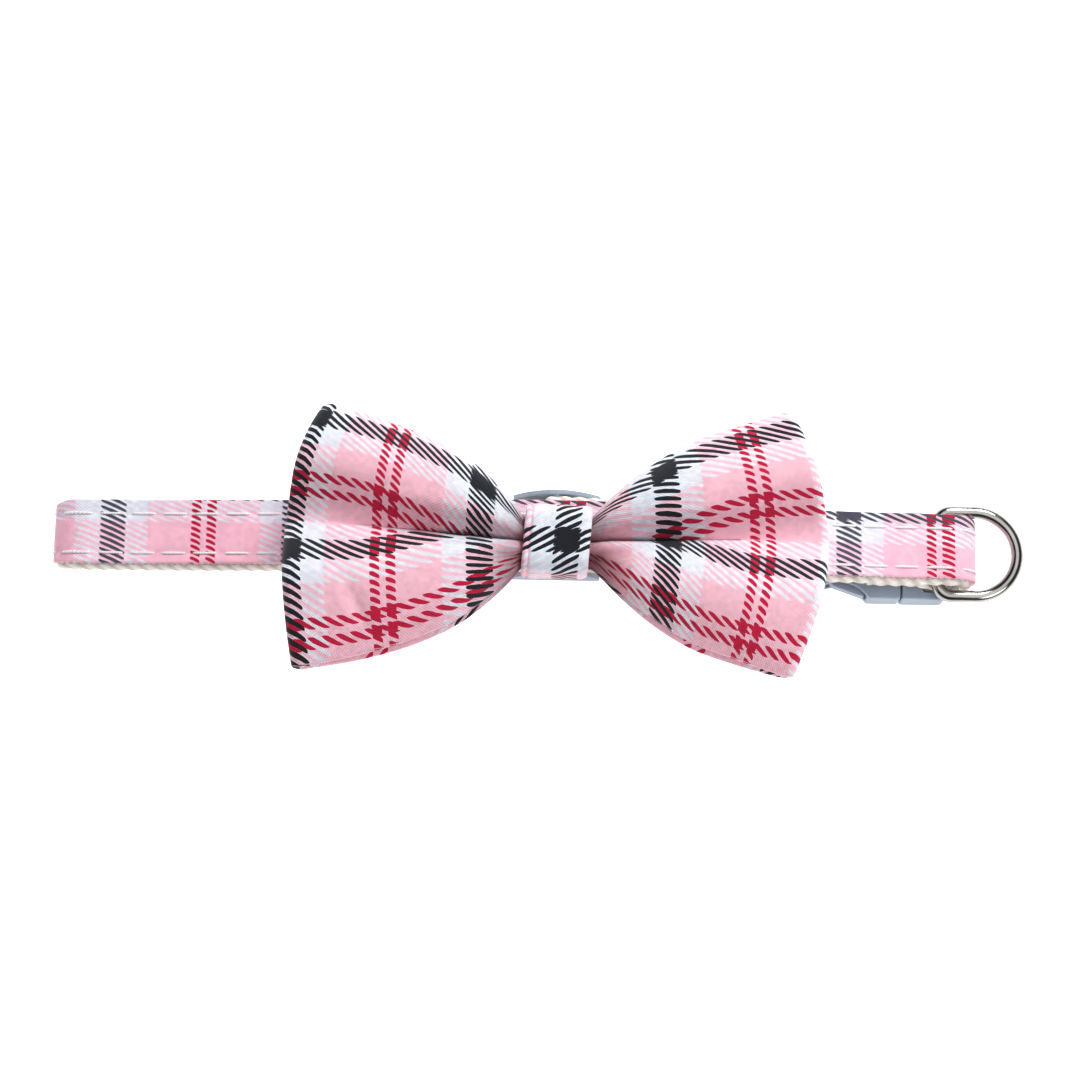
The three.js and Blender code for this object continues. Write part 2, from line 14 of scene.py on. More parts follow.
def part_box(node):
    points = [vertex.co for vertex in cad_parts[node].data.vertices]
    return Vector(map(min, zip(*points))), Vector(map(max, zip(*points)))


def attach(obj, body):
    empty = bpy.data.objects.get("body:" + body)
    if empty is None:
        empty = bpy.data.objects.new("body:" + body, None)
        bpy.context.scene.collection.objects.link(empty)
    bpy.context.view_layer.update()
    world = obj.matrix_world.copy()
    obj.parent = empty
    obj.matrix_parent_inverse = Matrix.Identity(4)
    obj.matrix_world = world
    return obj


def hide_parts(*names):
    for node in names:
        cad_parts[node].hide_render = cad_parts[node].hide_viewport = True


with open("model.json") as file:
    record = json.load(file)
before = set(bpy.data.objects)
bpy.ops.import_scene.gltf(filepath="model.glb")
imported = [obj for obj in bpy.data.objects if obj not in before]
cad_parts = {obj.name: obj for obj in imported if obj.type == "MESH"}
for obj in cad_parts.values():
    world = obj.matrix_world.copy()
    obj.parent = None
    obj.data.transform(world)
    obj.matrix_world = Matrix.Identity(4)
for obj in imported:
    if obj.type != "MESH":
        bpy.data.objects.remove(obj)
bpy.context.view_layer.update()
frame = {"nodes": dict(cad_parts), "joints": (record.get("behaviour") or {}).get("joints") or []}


# Rows of tables


class Wing(NamedTuple):
    """A wing of the bow; its corners lean in, and its pleat climbs by a share of the half height."""

    side: int
    heights: str
    lean_top: float
    lean_bottom: float
    lean_curve: float
    climb: float


class Dent(NamedTuple):
    """A soft dent in a wing; across and length are shares of the wing's half height."""

    side: int
    out: float
    across: float
    slant: float
    length: float
    width: float
    depth: float


class Cut(NamedTuple):
    """A cut of the printed cotton: where one black bar of each direction lies, and how the print runs."""

    bar_along: float
    bar_across: float
    weft_repeat: float
    dash_along: float
    dash_across: float
    skew: float
    black: tuple
    ground: tuple


class BowRow(NamedTuple):
    """A section of the bow: distance out, turn round the wing's fold, and place along the flat cloth."""

    wing: Wing
    out: float
    turn: float
    place: float


MM = 0.001

# Strap plies; the cover is thinner than the solid's, and the webbing under it fills the rest
STRAP_WIDTH = 10
WEBBING_THICKNESS = 1.2
FABRIC_WIDTH = 9.2
FABRIC_THICKNESS = 1
COVER_THICKNESS = 0.55
COVER_GAP = 0.05
FILL_FADE = 3
KEEPER_THICKNESS = 1
PLY_GAP = 0.15

# The pressed loop; its left fold's upper corner is pulled in
LOOP_LEFT = -71.6
LOOP_RIGHT = 59.8
CROWN_HEIGHT = 14.6
LEFT_END_HEIGHT = 10
HARDWARE_LIFT = 0.15
CORNER_PULL = 0.8
CORNER_LENGTH = 2.4
FABRIC_END_X = 29
WRAP_START_DEGREES = 150
WRAP_SLACK = 0.35
TAIL_END_X = 9

# How far the back run lies to the side of the front run, along X
DRIFT_X = (-66.9, -38, 0, 31.5)
DRIFT = (1.5, 1.95, 2.5, 0)

# Wire ring
RING_WIRE_RADIUS = 0.9
RING_EYE_WIDTH = 10.4
RING_REACH = 11.4
RING_CORNER_RADIUS = 2
RING_PLAY = 0.6

# Strap end folded back under the ring's bar
KEEPER_TIP_X = 44
KEEPER_DIP_START_X = 50.1
KEEPER_DIP = (54.6, 4.54)
KEEPER_END = (55.6, 4.25)

# Plastic bars that the webbing passes
BAR_RADIUS = 0.6
SLIDER_SIDE_BAR_X = 5.6
SLIDER_SIDE_BAR_RADIUS = 0.7
SLIDER_APPROACH_X = 14
BUCKLE_LEFT = 30.6
BUCKLE_RIGHT = 55.5
BUCKLE_BAR_INSET = 0.8

# Softening of the plastic solids' edges
MOULD_VOXEL = 0.12
MOULD_FACTOR = 0.5
MOULD_SMOOTHING = 3

# Bow, with the values of its sections at distances out from its middle
BOW_DROP = 2.1
BOW_SEAT_GAP = 0.3
BOW_WALL = 1
FLAT_WIDTH_OUT = 30.0
WAIST_HALF_LENGTH = 5
WING_OUT = np.array((0, 2.6, 5, 6.7, 9, 13.5, 20, 28, 36.1))
WING_VALUES = {
    "left": (3, 3, 3, 5, 7.3, 10.8, 13.8, 16.2, 18),
    "right": (3, 3, 3, 4.5, 6.6, 10, 13.5, 16, 18),
    "crest": (5.7, 5.7, 5.7, 7.3, 8.6, 9.8, 10.4, 10.4, 10),
    "pleat": (1.2, 1.2, 1.2, 2.4, 3.4, 4.4, 5, 5.2, 5),
    "sheets": (2, 2, 2, 2.6, 3.4, 4.2, 4.6, 3.8, 1.9),
    "fall": (0.6, 0.6, 0.6, 1.2, 2, 3, 3.6, 3.6, 3.2),
}
WING_REACH = WING_OUT[-1]
LEFT_WING = Wing(side=-1, heights="left", lean_top=4.6, lean_bottom=1.7, lean_curve=1.8, climb=0.14)
RIGHT_WING = Wing(side=1, heights="right", lean_top=4.9, lean_bottom=4.9, lean_curve=1.45, climb=0.05)

# Pleat: most of it is a narrow crease, which softens towards the wing's end
PLEAT_HALF = 0.5
CREASE_HALF = 0.3
CREASE_CURVE = 1.5
CREASE_SHARE = 0.8
CREASE_FULL = 16
CREASE_FADE = 20

# The pleat is nipped into a slit by the knot, which fades along the wing
SLIT_DEPTH = 1.1
SLIT_WIDTH = 0.5
SLIT_START = 7
SLIT_FADE = 14

# Width of cloth that each side of the pleat swallows by the knot, and how far along the wing it lasts
SWALLOWED = 8
SWALLOWED_FADE = 25

# Small folds of the bow: gathers that fan out of the knot, and a slow swell of the lobes
FOLD_GROWTH = 3
GATHER_DEPTH = 0.34
GATHER_FADE = 7
GATHER_RATE = 11
GATHER_TURN = 2.1
SWELL_DEPTH = 0.22
# Two waves whose product is the swell: rates out and across, and a turn that differs by the side
SWELL_WAVES = ((0.21, 3.1, 1.7), (0.13, -2.3, 0))
DENTS = (
    Dent(side=-1, out=27.5, across=-0.62, slant=6, length=0.22, width=1.1, depth=0.55),
    Dent(side=-1, out=19, across=0.55, slant=-5, length=0.2, width=1.6, depth=0.3),
    Dent(side=1, out=24, across=0.6, slant=5, length=0.25, width=1.8, depth=0.35),
    Dent(side=1, out=13, across=-0.45, slant=4, length=0.3, width=2, depth=0.6),
)

# Painted shade in the cotton's colour: a dark line in the pleat by the knot, shade over and under it, and
# where the knot nips the cloth
LINE_WIDTH = 0.6
LINE_START = 12
LINE_FADE = 12
SLOPE_WIDTH = 2.2
SLOPE_SHARE = 0.45
NIP_LENGTH = 1.6
NIP_SHARE = 0.6
UNDER_LENGTH = 4.5
UNDER_START = 0.9
UNDER_WIDTH = 1.4
UNDER_SHARE = 0.8

# Knot
KNOT_HALF_LENGTH = 4.6
KNOT_HALF_HEIGHT = 4.8
KNOT_RISE = 0.2
KNOT_DEPTH = 7.8
KNOT_WALL = 1.1
KNOT_CORNER = 2.6
KNOT_SKEW = 0.07
KNOT_TILT = 0.03
KNOT_PUFF = 0.14

# A fold along the knot's left edge with a hem under it, and a ripple across the knot
KNOT_FOLD_X = -3.75
KNOT_FOLD_DEPTH = 0.32
KNOT_FOLD_WIDTH = 0.16
KNOT_HEM_STEP = 0.1
RIPPLE_DEPTH = 0.06
RIPPLE_RATE = 1.9
RIPPLE_START = 0.6

# Fineness of the meshes
WEBBING_STEP = 0.28
FABRIC_STEP = 0.4
FINE_STEP = 0.1
SAME_POINT_GAP = 0.001
ARC_STEP_DEGREES = 2
WEBBING_COLUMNS = 14
FABRIC_COLUMNS = 46
KNOT_COLUMNS = 44
EDGE_COLUMNS = 9
WING_ROWS = 54
WAIST_ROWS = 5
FOLD_ROWS = 12
WING_COLUMNS = 85
RIM_COLUMNS = 5
KNOT_ROWS = 150
KNOT_CORNER_POINTS = 24
RING_ROWS = 220
WIRE_SIDES = 28
STITCH_RINGS = 11
THREAD_SIDES = 8

# Topstitching; a stitch narrows to a share of the thread at its tips, where it dips into the cloth
STITCH_PITCH = 4.5
STITCH_LENGTH = 3.7
STITCH_ROWS = (2.9, -2.75)
STITCH_TIP = 0.45
STITCH_TAPER_POWER = 8
STITCH_DIP_POWER = 6
THREAD_RADIUS = 0.14
THREAD_SPREAD = 1.25
THREAD_LIFT = 0.02
FACE_LIFT_SHARE = 0.8
TWIST_PITCH = 0.4

# Groove that the stitches pull into the cotton: between the needle's holes, and more at each hole
STITCH_GROOVE = 0.09
GROOVE_WIDTH = 0.55
GROOVE_SHARE = 0.6
NEEDLE_SHARE = 0.9
NEEDLE_POWER = 4

# Selvedge of the webbing: its edge cords twist like a rope
SELVEDGE_PITCH = 2.1
SELVEDGE_DEPTH = 0.24
SELVEDGE_WIDTH = 0.65
SELVEDGE_LEAN = 1.3
SELVEDGE_HEIGHT = 1.2

# Webbing's face: a herringbone of ribs, with finer yarns over them
HERRINGBONE_HALF = 1.25
RIB_PITCH = 0.85
YARN_PITCH = 0.31
YARN_LEAN = 0.4
YARN_HEIGHT = 0.35

# Colours of the finishes, in sRGB
BOW_PINK = (251, 192, 207)
STRAP_PINK = (254, 192, 211)
BLACK = (24, 27, 34)
SOFT_BLACK = (76, 75, 88)
WHITE = (224, 246, 255)
CRIMSON = (196, 20, 62)
IVORY = (250, 244, 236)
IVORY_DARK = (203, 187, 173)
PLASTIC = (148, 163, 179)
NICKEL = (178, 175, 170)
THREAD = (255, 252, 253)
# Painted shade: the dark colour that the cotton's colour is multiplied towards in its folds
FOLD_SHADE = (110, 64, 70)
FLOOR = (252, 252, 252)

# Print: warp bars repeat along the cloth and weft bars across it, each drawn in rounded dashes
WARP_REPEAT = 26
BLACK_BAR = 3.6
WHITE_BAR = 3.2
CRIMSON_LINE = 1.4
CRIMSON_GAP = 0.8
WARP_DASH_MIDDLE = 0.25
WEFT_DASH_MIDDLE = 0.75
DASH_HALF = 0.25
DASH_POWER = 4
DASH_ROUND = 0.35
CRIMSON_ROUND = 0.12
DARK_SPREAD = 0.22
HATCH_SOFTNESS = 0.7
PALE = 0.5
STRAP_CUT = Cut(
    bar_along=-62.8, bar_across=6, weft_repeat=27, dash_along=2, dash_across=0.86, skew=-0.0133,
    black=SOFT_BLACK, ground=STRAP_PINK,
)
BOW_CUT = Cut(
    bar_along=-10.7, bar_across=-5.5, weft_repeat=22, dash_along=2, dash_across=1.2, skew=0,
    black=BLACK, ground=BOW_PINK,
)
KNOT_CUT = BOW_CUT._replace(bar_along=1.4, bar_across=0.8, dash_along=-2)

# Noises of the finishes: turns for each metre, and detail
SLUB_NOISE = (1400, 2)
WEAR_NOISE = (90, 3)
PLASTIC_NOISE = (160, 4)
GRAIN_NOISE = (4000, 2)
NICKEL_NOISE = (300, 5)
FLOOR_NOISE = (3, 3)

# Tones: a pattern's share of the tone, and the tone without it
WEAVE_PITCH = 0.4
WEAVE_TONE = (0.2, 0.98)
SLUB_TONE = (0.55, 0.7)
WEAR_TONE = (0.1, 0.95)
IVORY_TONE = (0.36, 0.55)
TWIST_TONE = (0.5, 0.5)
IVORY_FULL = 0.8

# Clouds: the dimmer colour's share, and where the pattern is dimmest and fullest
PLASTIC_CLOUD = (0.93, 0.3, 0.7)
NICKEL_CLOUD = (0.9, 0.35, 0.65)
THREAD_CLOUD = (0.9, 0, 1)
FLOOR_CLOUD = (0.985, 0.3, 0.7)

# Surfaces: plain levels of the shader, ranges of roughness, and depth and strength of the bumps
COTTON_LEVELS = {"Specular IOR Level": 0.25, "Sheen Weight": 0.12}
COTTON_ROUGHNESS = (0.76, 0.9)
COTTON_BUMP = (0.03, 0.5)
WEBBING_LEVELS = {"Roughness": 0.8, "Specular IOR Level": 0.3, "Sheen Weight": 0.1}
WEBBING_BUMP = (0.08, 0.8)
PLASTIC_ROUGHNESS = (0.3, 0.5)
PLASTIC_BUMP = (0.01, 0.35)
NICKEL_LEVELS = {"Metallic": 1}
NICKEL_ROUGHNESS = (0.06, 0.2)
THREAD_LEVELS = {"Roughness": 0.6, "Sheen Weight": 0.2}
THREAD_BUMP = (0.04, 0.6)
FLOOR_LEVELS = {"Roughness": 0.9, "Emission Color": (1, 1, 1, 1), "Emission Strength": 0.85}

# Stage, in metres and watts; the studio's light is given at heights from the horizon, 0, to overhead, 1
FLOOR_HALF = 4
STUDIO_TINT = (0.95, 0.97, 1)
STUDIO_LIGHT = ((0, 0.5), (0.2, 0.5), (0.3, 0.05), (0.84, 0.05), (0.93, 1.4), (1, 1.4))
LAMPS = (
    {"name": "key", "location": (0.2, 0.5, 0.52), "size": 0.25, "watts": 4.6},
    {"name": "fill", "location": (0.24, -0.2, 0.26), "size": 0.2, "watts": 0.36},
)

# Camera: it looks down on the collar from the strap's lower edge
CAMERA_AIM = (0.0002, 0.0013, 0.0146)
CAMERA_DISTANCE = 0.4
CAMERA_ELEVATION = 78
CAMERA_ROLL = 1.06
CAMERA_LENS = 95.6
CAMERA_SENSOR = 36
CAMERA_NEAR = 0.01


# Strap route, from the heights of the plies

HALF_WEBBING = WEBBING_THICKNESS / 2
FABRIC_OUTER = HALF_WEBBING + PLY_GAP + FABRIC_THICKNESS
COVER_INNER = FABRIC_OUTER - COVER_THICKNESS
BAR_WRAP = BAR_RADIUS + PLY_GAP + HALF_WEBBING
LOW_RUN = FABRIC_OUTER + HARDWARE_LIFT
OVER_SIDE_BAR = FABRIC_OUTER + 2 * SLIDER_SIDE_BAR_RADIUS + PLY_GAP
TAIL_STEP = WEBBING_THICKNESS + PLY_GAP
CORNER_START = LOOP_LEFT + FABRIC_OUTER + CORNER_LENGTH

slider_low, slider_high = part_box("slider")
webbing_low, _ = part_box("webbing")
SHIFT = np.array((
    (slider_low.x + slider_high.x) / 2,
    webbing_low.y + STRAP_WIDTH / 2 * MM,
    0,
))
ring_bar = np.array(frame["joints"][0]["pos_m"]) / MM - SHIFT / MM

male_bar = (BUCKLE_RIGHT - BUCKLE_BAR_INSET, LOW_RUN + BAR_WRAP)
female_bar = (BUCKLE_LEFT + BUCKLE_BAR_INSET, LOW_RUN + BAR_WRAP)
middle_bar = (0, LOW_RUN + TAIL_STEP + BAR_WRAP)
right_top = ring_bar[2] + RING_WIRE_RADIUS + RING_PLAY + HALF_WEBBING
right_radius = (right_top - LOW_RUN) / 2
right_fold = (LOOP_RIGHT - FABRIC_OUTER - right_radius, (right_top + LOW_RUN) / 2)
left_top = LEFT_END_HEIGHT - FABRIC_OUTER
left_radius = (left_top - FABRIC_OUTER) / 2
left_fold = (LOOP_LEFT + FABRIC_OUTER + left_radius, (left_top + FABRIC_OUTER) / 2)
crown = CROWN_HEIGHT - FABRIC_OUTER
tail_over = middle_bar[1] + BAR_WRAP
tail_under = middle_bar[1] - BAR_WRAP
tail_end = OVER_SIDE_BAR + TAIL_STEP


def ease(amount):
    """Smooth step from 0 to 1."""
    return amount * amount * (3 - 2 * amount)


def eased(value, length):
    """Smooth step over a length, level before and after it."""
    return ease(np.clip(value / length, 0, 1))


def unit(vectors):
    return vectors / np.linalg.norm(vectors, axis=-1, keepdims=True)


def back_drift(x):
    """How far the back run lies to the side at places along X."""
    place = np.interp(x, DRIFT_X, np.arange(len(DRIFT_X)))
    index = np.minimum(place.astype(int), len(DRIFT_X) - 2)
    start = np.take(DRIFT, index)
    end = np.take(DRIFT, index + 1)
    return start + (end - start) * ease(place - index)


def bend(centre, radius, start, end, start_share=0, end_share=0):
    """Round a bar or a fold; a share tells how much of the back run's drift applies."""
    amount = np.linspace(0, 1, int(abs(end - start) / ARC_STEP_DEGREES) + 1)
    angle = np.radians(start + (end - start) * amount)
    x = centre[0] + radius * np.cos(angle)
    share = start_share + (end_share - start_share) * ease(amount)
    return np.stack([x, share * back_drift(x), centre[1] + radius * np.sin(angle)], axis=1)


def slope(start, end, share=0):
    """From one height to another, level at both ends."""
    amount = np.linspace(0, 1, int(abs(end[0] - start[0]) / FINE_STEP) + 2)
    x = start[0] + (end[0] - start[0]) * amount
    z = start[1] + (end[1] - start[1]) * ease(amount)
    return np.stack([x, share * back_drift(x), z], axis=1)


def slopes(corners, share=0):
    """Slopes from each corner to the next."""
    return [slope(start, end, share) for start, end in zip(corners, corners[1:])]


def lengths_along(points):
    """Distance along a path of each of its points."""
    return np.r_[0, np.cumsum(np.linalg.norm(np.diff(points, axis=0), axis=1))]


def at_places(places, distance, points):
    """Values between a path's points, at distances along it."""
    return np.stack([np.interp(places, distance, column) for column in points.T], axis=-1)


def resample(stretches, step):
    """Points at equal steps along joined stretches, and their distances along."""
    points = np.concatenate(stretches)
    gaps = np.linalg.norm(np.diff(points, axis=0), axis=1)
    points = points[np.r_[True, gaps > SAME_POINT_GAP]]
    distance = lengths_along(points)
    places = np.linspace(0, distance[-1], int(distance[-1] / step) + 1)
    return at_places(places, distance, points), places


def outward(route):
    """Unit vectors off the strap's outer face."""
    along = unit(np.gradient(route, axis=0)[:, [0, 2]])
    return np.stack([along[:, 1], np.zeros(len(route)), -along[:, 0]], axis=1)


OUTER_RUN = [
    bend(right_fold, right_radius, -90, 90),
    *slopes([(right_fold[0], right_top), (0, crown), (left_fold[0], left_top)]),
    bend(left_fold, left_radius, 90, 270, 0, 1),
    *slopes([
        (left_fold[0], FABRIC_OUTER),
        (-SLIDER_APPROACH_X, FABRIC_OUTER),
        (-SLIDER_SIDE_BAR_X, OVER_SIDE_BAR),
        (0, LOW_RUN),
        (SLIDER_SIDE_BAR_X, OVER_SIDE_BAR),
        (SLIDER_APPROACH_X, LOW_RUN),
        (FABRIC_END_X, LOW_RUN),
    ], 1),
]
WEBBING_RUN = [
    bend((male_bar[0] - WRAP_SLACK, male_bar[1]), BAR_WRAP, WRAP_START_DEGREES, 270),
    *OUTER_RUN,
    bend(female_bar, BAR_WRAP, -90, 90),
    *slopes([(female_bar[0], female_bar[1] + BAR_WRAP), (TAIL_END_X, tail_over), (0, tail_over)], 1),
    bend(middle_bar, BAR_WRAP, 90, 270, 1, 1),
    *slopes([(0, tail_under), (SLIDER_SIDE_BAR_X, tail_end), (TAIL_END_X, tail_end)], 1),
]
# The crown's distance along the outer run, from which the print's bars are counted
CROWN_PLACE = lengths_along(np.concatenate(OUTER_RUN[:2]))[-1]


# Mesh helpers


def link_object(name, data):
    made = bpy.data.objects.new(name, data)
    bpy.context.scene.collection.objects.link(made)
    return made


def grid_quads(rows, columns, rows_closed):
    """Corner rows and columns of every quad of a grid of closed sections, not yet wrapped round."""
    row_steps = np.arange(rows if rows_closed else rows - 1)
    i, j = np.meshgrid(row_steps, np.arange(columns), indexing="ij")
    i, j = i.ravel(), j.ravel()
    return np.stack([i, i, i + 1, i + 1], axis=1), np.stack([j, j + 1, j + 1, j], axis=1)


def signed_volume(points, quads):
    """Six times the volume in a skin of quads, positive where they face outwards."""
    a, b, c, d = (points[quads[:, k]] for k in range(4))
    return np.sum(np.cross(a, b) * c) + np.sum(np.cross(a, c) * d)


def make_object(name, points, faces, uvs):
    """Mesh object from drawing-frame points, with the cloth's own millimetres as its UV map."""
    mesh = bpy.data.meshes.new(name)
    mesh.from_pydata((points * MM + SHIFT).tolist(), [], faces)
    layer = mesh.uv_layers.new(name="cloth")
    layer.data.foreach_set("uv", np.asarray(uvs, dtype=np.float32).ravel())
    mesh.polygons.foreach_set("use_smooth", [True] * len(mesh.polygons))
    mesh.update()
    return link_object(name, mesh)


def skin(name, grid, u, v, rows_closed=False):
    """Closed skin over a grid of sections; u runs along the rows and v round each section."""
    rows, columns = grid.shape[:2]
    points = grid.reshape(-1, 3)
    corner_rows, corner_columns = grid_quads(rows, columns, rows_closed)
    wrapped = corner_columns % columns
    quads = corner_rows % rows * columns + wrapped
    uv = np.stack([u[corner_rows, wrapped], v[corner_rows % rows, wrapped]], axis=-1)
    turn = 1 if signed_volume(points - points.mean(axis=0), quads) > 0 else -1
    faces = quads[:, ::turn].tolist()
    uvs = uv[:, ::turn].reshape(-1, 2).tolist()
    if not rows_closed:
        for row, end_turn in ((0, -turn), (rows - 1, turn)):
            ring = np.arange(columns)[::end_turn]
            faces.append((row * columns + ring).tolist())
            uvs.extend(np.stack([u[row, ring], v[row, ring]], axis=-1).tolist())
    return make_object(name, points, faces, uvs)


def rounded_section(low, high, inner, outer, face_columns):
    """Outline of a flat band: distance out, place across, angle round each rounded edge and its share.

    The share is 0 on both faces, and up to 1 on the upper edge and down to -1 on the lower one.
    """
    radius = (outer - inner) / 2
    middle = (outer + inner) / 2
    turn = np.radians(np.linspace(-90, 90, EDGE_COLUMNS))
    across = np.linspace(low + radius, high - radius, face_columns)[1:-1]
    face = np.ones(face_columns - 2)
    rise = middle + radius * np.sin(turn)
    bulge = radius * np.cos(turn)
    out = [rise, face * outer, rise[::-1], face * inner]
    y = [high - radius + bulge, across[::-1], low + radius - bulge, across]
    angle = [turn, face * np.pi / 2, turn[::-1], face * -np.pi / 2]
    edge = [np.cos(turn), face * 0, -np.cos(turn), face * 0]
    return tuple(np.concatenate(parts) for parts in (out, y, angle, edge))


def band(name, route, places, out, y):
    """Skin of a band: out and y give each section's outline, one row for each place along."""
    normal = outward(route)
    grid = route[:, None, :] + normal[:, None, :] * out[..., None]
    pull = CORNER_PULL * np.clip((CORNER_START - route[:, :1]) / CORNER_LENGTH, 0, 1) ** 2
    grid[..., 1] += y - pull * np.clip(2 * y / STRAP_WIDTH, 0, 1)
    u = np.broadcast_to((CROWN_PLACE - places)[:, None], out.shape)
    return skin(name, grid, u, np.broadcast_to(y, out.shape))


def arc(x, y, radius, start, end, count):
    """Points of a flat arc between two angles in degrees."""
    angle = np.radians(np.linspace(start, end, count))
    return np.stack([x + radius * np.cos(angle), y + radius * np.sin(angle)], axis=1)


def even_loop(outline, rows):
    """Even points round a closed outline: the points, their distances along and the whole length."""
    closed = np.concatenate([outline, outline[:1]])
    distance = lengths_along(closed)
    places = np.linspace(0, distance[-1], rows, endpoint=False)
    return at_places(places, distance, closed), places, distance[-1]


def loop_steps(points):
    """Differences between each row's two neighbours in a closed loop of rows."""
    return np.roll(points, -1, axis=0) - np.roll(points, 1, axis=0)


def cover(piece, material):
    piece.data.materials.clear()
    piece.data.materials.append(material)


def dress(piece, material, nodes=(), body="collar"):
    """Gives a piece its material and body, and hides the solids that it stands for."""
    cover(piece, material)
    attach(piece, body)
    if nodes:
        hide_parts(*nodes)


# Material helpers


def linear(colour):
    """An sRGB colour as linear light, with full alpha."""
    channels = np.array(colour) / 255
    low = channels / 12.92
    high = ((channels + 0.055) / 1.055) ** 2.4
    return (*np.where(channels <= 0.04045, low, high).tolist(), 1)


def fill_ramp(ramp, stops):
    """Puts colours on a ramp at their places."""
    while len(ramp.elements) < len(stops):
        ramp.elements.new(1.0)
    for element, (place, colour) in zip(ramp.elements, stops):
        element.position = place
        element.color = colour


class Nodes:
    """A material's node tree with short calls for the nodes that the finishes need."""

    def __init__(self, name, levels):
        self.material = bpy.data.materials.new(name)
        self.material.use_nodes = True
        self.tree = self.material.node_tree
        self.shader = self.tree.nodes["Principled BSDF"]
        for socket, value in levels.items():
            self.finish(socket, value)

    def add(self, kind):
        return self.tree.nodes.new(kind)

    def put(self, socket, value):
        """Links another node's output to a socket, or sets the socket's own value."""
        if isinstance(value, bpy.types.NodeSocket):
            self.tree.links.new(value, socket)
        else:
            socket.default_value = value

    def finish(self, socket, value):
        """Links or sets one of the shader's own sockets."""
        self.put(self.shader.inputs[socket], value)

    def maths(self, operation, *values):
        node = self.add("ShaderNodeMath")
        node.operation = operation
        for socket, value in zip(node.inputs, values):
            self.put(socket, value)
        return node.outputs[0]

    def scaled(self, value, factor, plus=0):
        return self.maths("MULTIPLY_ADD", value, factor, plus)

    def lightness(self, colour):
        node = self.add("ShaderNodeRGBToBW")
        self.put(node.inputs[0], colour)
        return node.outputs[0]

    def grey(self, value):
        node = self.add("ShaderNodeCombineColor")
        for channel in node.inputs:
            self.put(channel, value)
        return node.outputs[0]

    def mix(self, factor, a, b, blend="MIX"):
        """Mix of two colours; inputs 6 and 7 and output 2 are the node's colour sockets."""
        node = self.add("ShaderNodeMix")
        node.data_type = "RGBA"
        node.blend_type = blend
        self.put(node.inputs["Factor"], factor)
        self.put(node.inputs[6], a)
        self.put(node.inputs[7], b)
        return node.outputs[2]

    def blend(self, factor, a, b):
        """Mix of two plain values."""
        node = self.add("ShaderNodeMix")
        self.put(node.inputs["Factor"], factor)
        self.put(node.inputs["A"], a)
        self.put(node.inputs["B"], b)
        return node.outputs["Result"]

    def ramp(self, factor, stops, interpolation="LINEAR"):
        node = self.add("ShaderNodeValToRGB")
        node.color_ramp.interpolation = interpolation
        fill_ramp(node.color_ramp, stops)
        self.put(node.inputs["Fac"], factor)
        return node.outputs["Color"]

    def noise(self, scale, detail):
        node = self.add("ShaderNodeTexNoise")
        coordinates = self.add("ShaderNodeTexCoord")
        self.put(node.inputs["Vector"], coordinates.outputs["Object"])
        self.put(node.inputs["Scale"], scale)
        self.put(node.inputs["Detail"], detail)
        return node.outputs["Fac"]

    def cloth_place(self):
        """The cloth's own millimetres along and across."""
        uv = self.add("ShaderNodeUVMap")
        uv.uv_map = "cloth"
        split = self.add("ShaderNodeSeparateXYZ")
        self.put(split.inputs[0], uv.outputs[0])
        return split.outputs[0], split.outputs[1]

    def attribute(self, name):
        node = self.add("ShaderNodeAttribute")
        node.attribute_name = name
        return node.outputs["Fac"]

    def wave(self, place, pitch):
        return self.maths("SINE", self.maths("MULTIPLY", place, 2 * math.pi / pitch))

    def bump(self, height, depth, strength):
        node = self.add("ShaderNodeBump")
        self.put(node.inputs["Height"], height)
        self.put(node.inputs["Distance"], depth * MM)
        self.put(node.inputs["Strength"], strength)
        self.finish("Normal", node.outputs["Normal"])

    def cloud(self, pattern, colour, dim_share, dimmest, fullest):
        """Base colour that drifts with a pattern from a dimmer colour to the full one."""
        dim = tuple(int(dim_share * channel) for channel in colour)
        self.finish("Base Color", self.ramp(pattern, [(dimmest, linear(dim)), (fullest, linear(colour))]))

    def vary_roughness(self, noise, low, high):
        self.finish("Roughness", self.scaled(noise, high - low, low))


# Finishes


def bar_stops(repeat, cut):
    """Half a repeat, from the middle of a black bar: black, then white, then the ground."""
    half = repeat / 2
    edges = ((0, cut.black), (BLACK_BAR / 2, WHITE), (BLACK_BAR / 2 + WHITE_BAR, cut.ground))
    return [(place / half, linear(colour)) for place, colour in edges]


def print_bars(nodes, cut, place, bar, repeat, off):
    """Colour of one direction's bars: black with white sides, and two crimson lines between them.

    Off is how far a point is from the middle of its dash, and rounds off the bars' edges there.
    """
    away = nodes.maths("PINGPONG", nodes.maths("SUBTRACT", place, bar), repeat / 2)
    share = nodes.scaled(nodes.scaled(off, DASH_ROUND, away), 2 / repeat)
    bars = nodes.ramp(share, bar_stops(repeat, cut), "CONSTANT")
    line = (repeat - CRIMSON_GAP - CRIMSON_LINE) / 2
    off_line = nodes.maths("ABSOLUTE", nodes.maths("SUBTRACT", away, line))
    is_line = nodes.maths("LESS_THAN", nodes.scaled(off, CRIMSON_ROUND, off_line), CRIMSON_LINE / 2)
    return nodes.mix(is_line, bars, linear(CRIMSON))


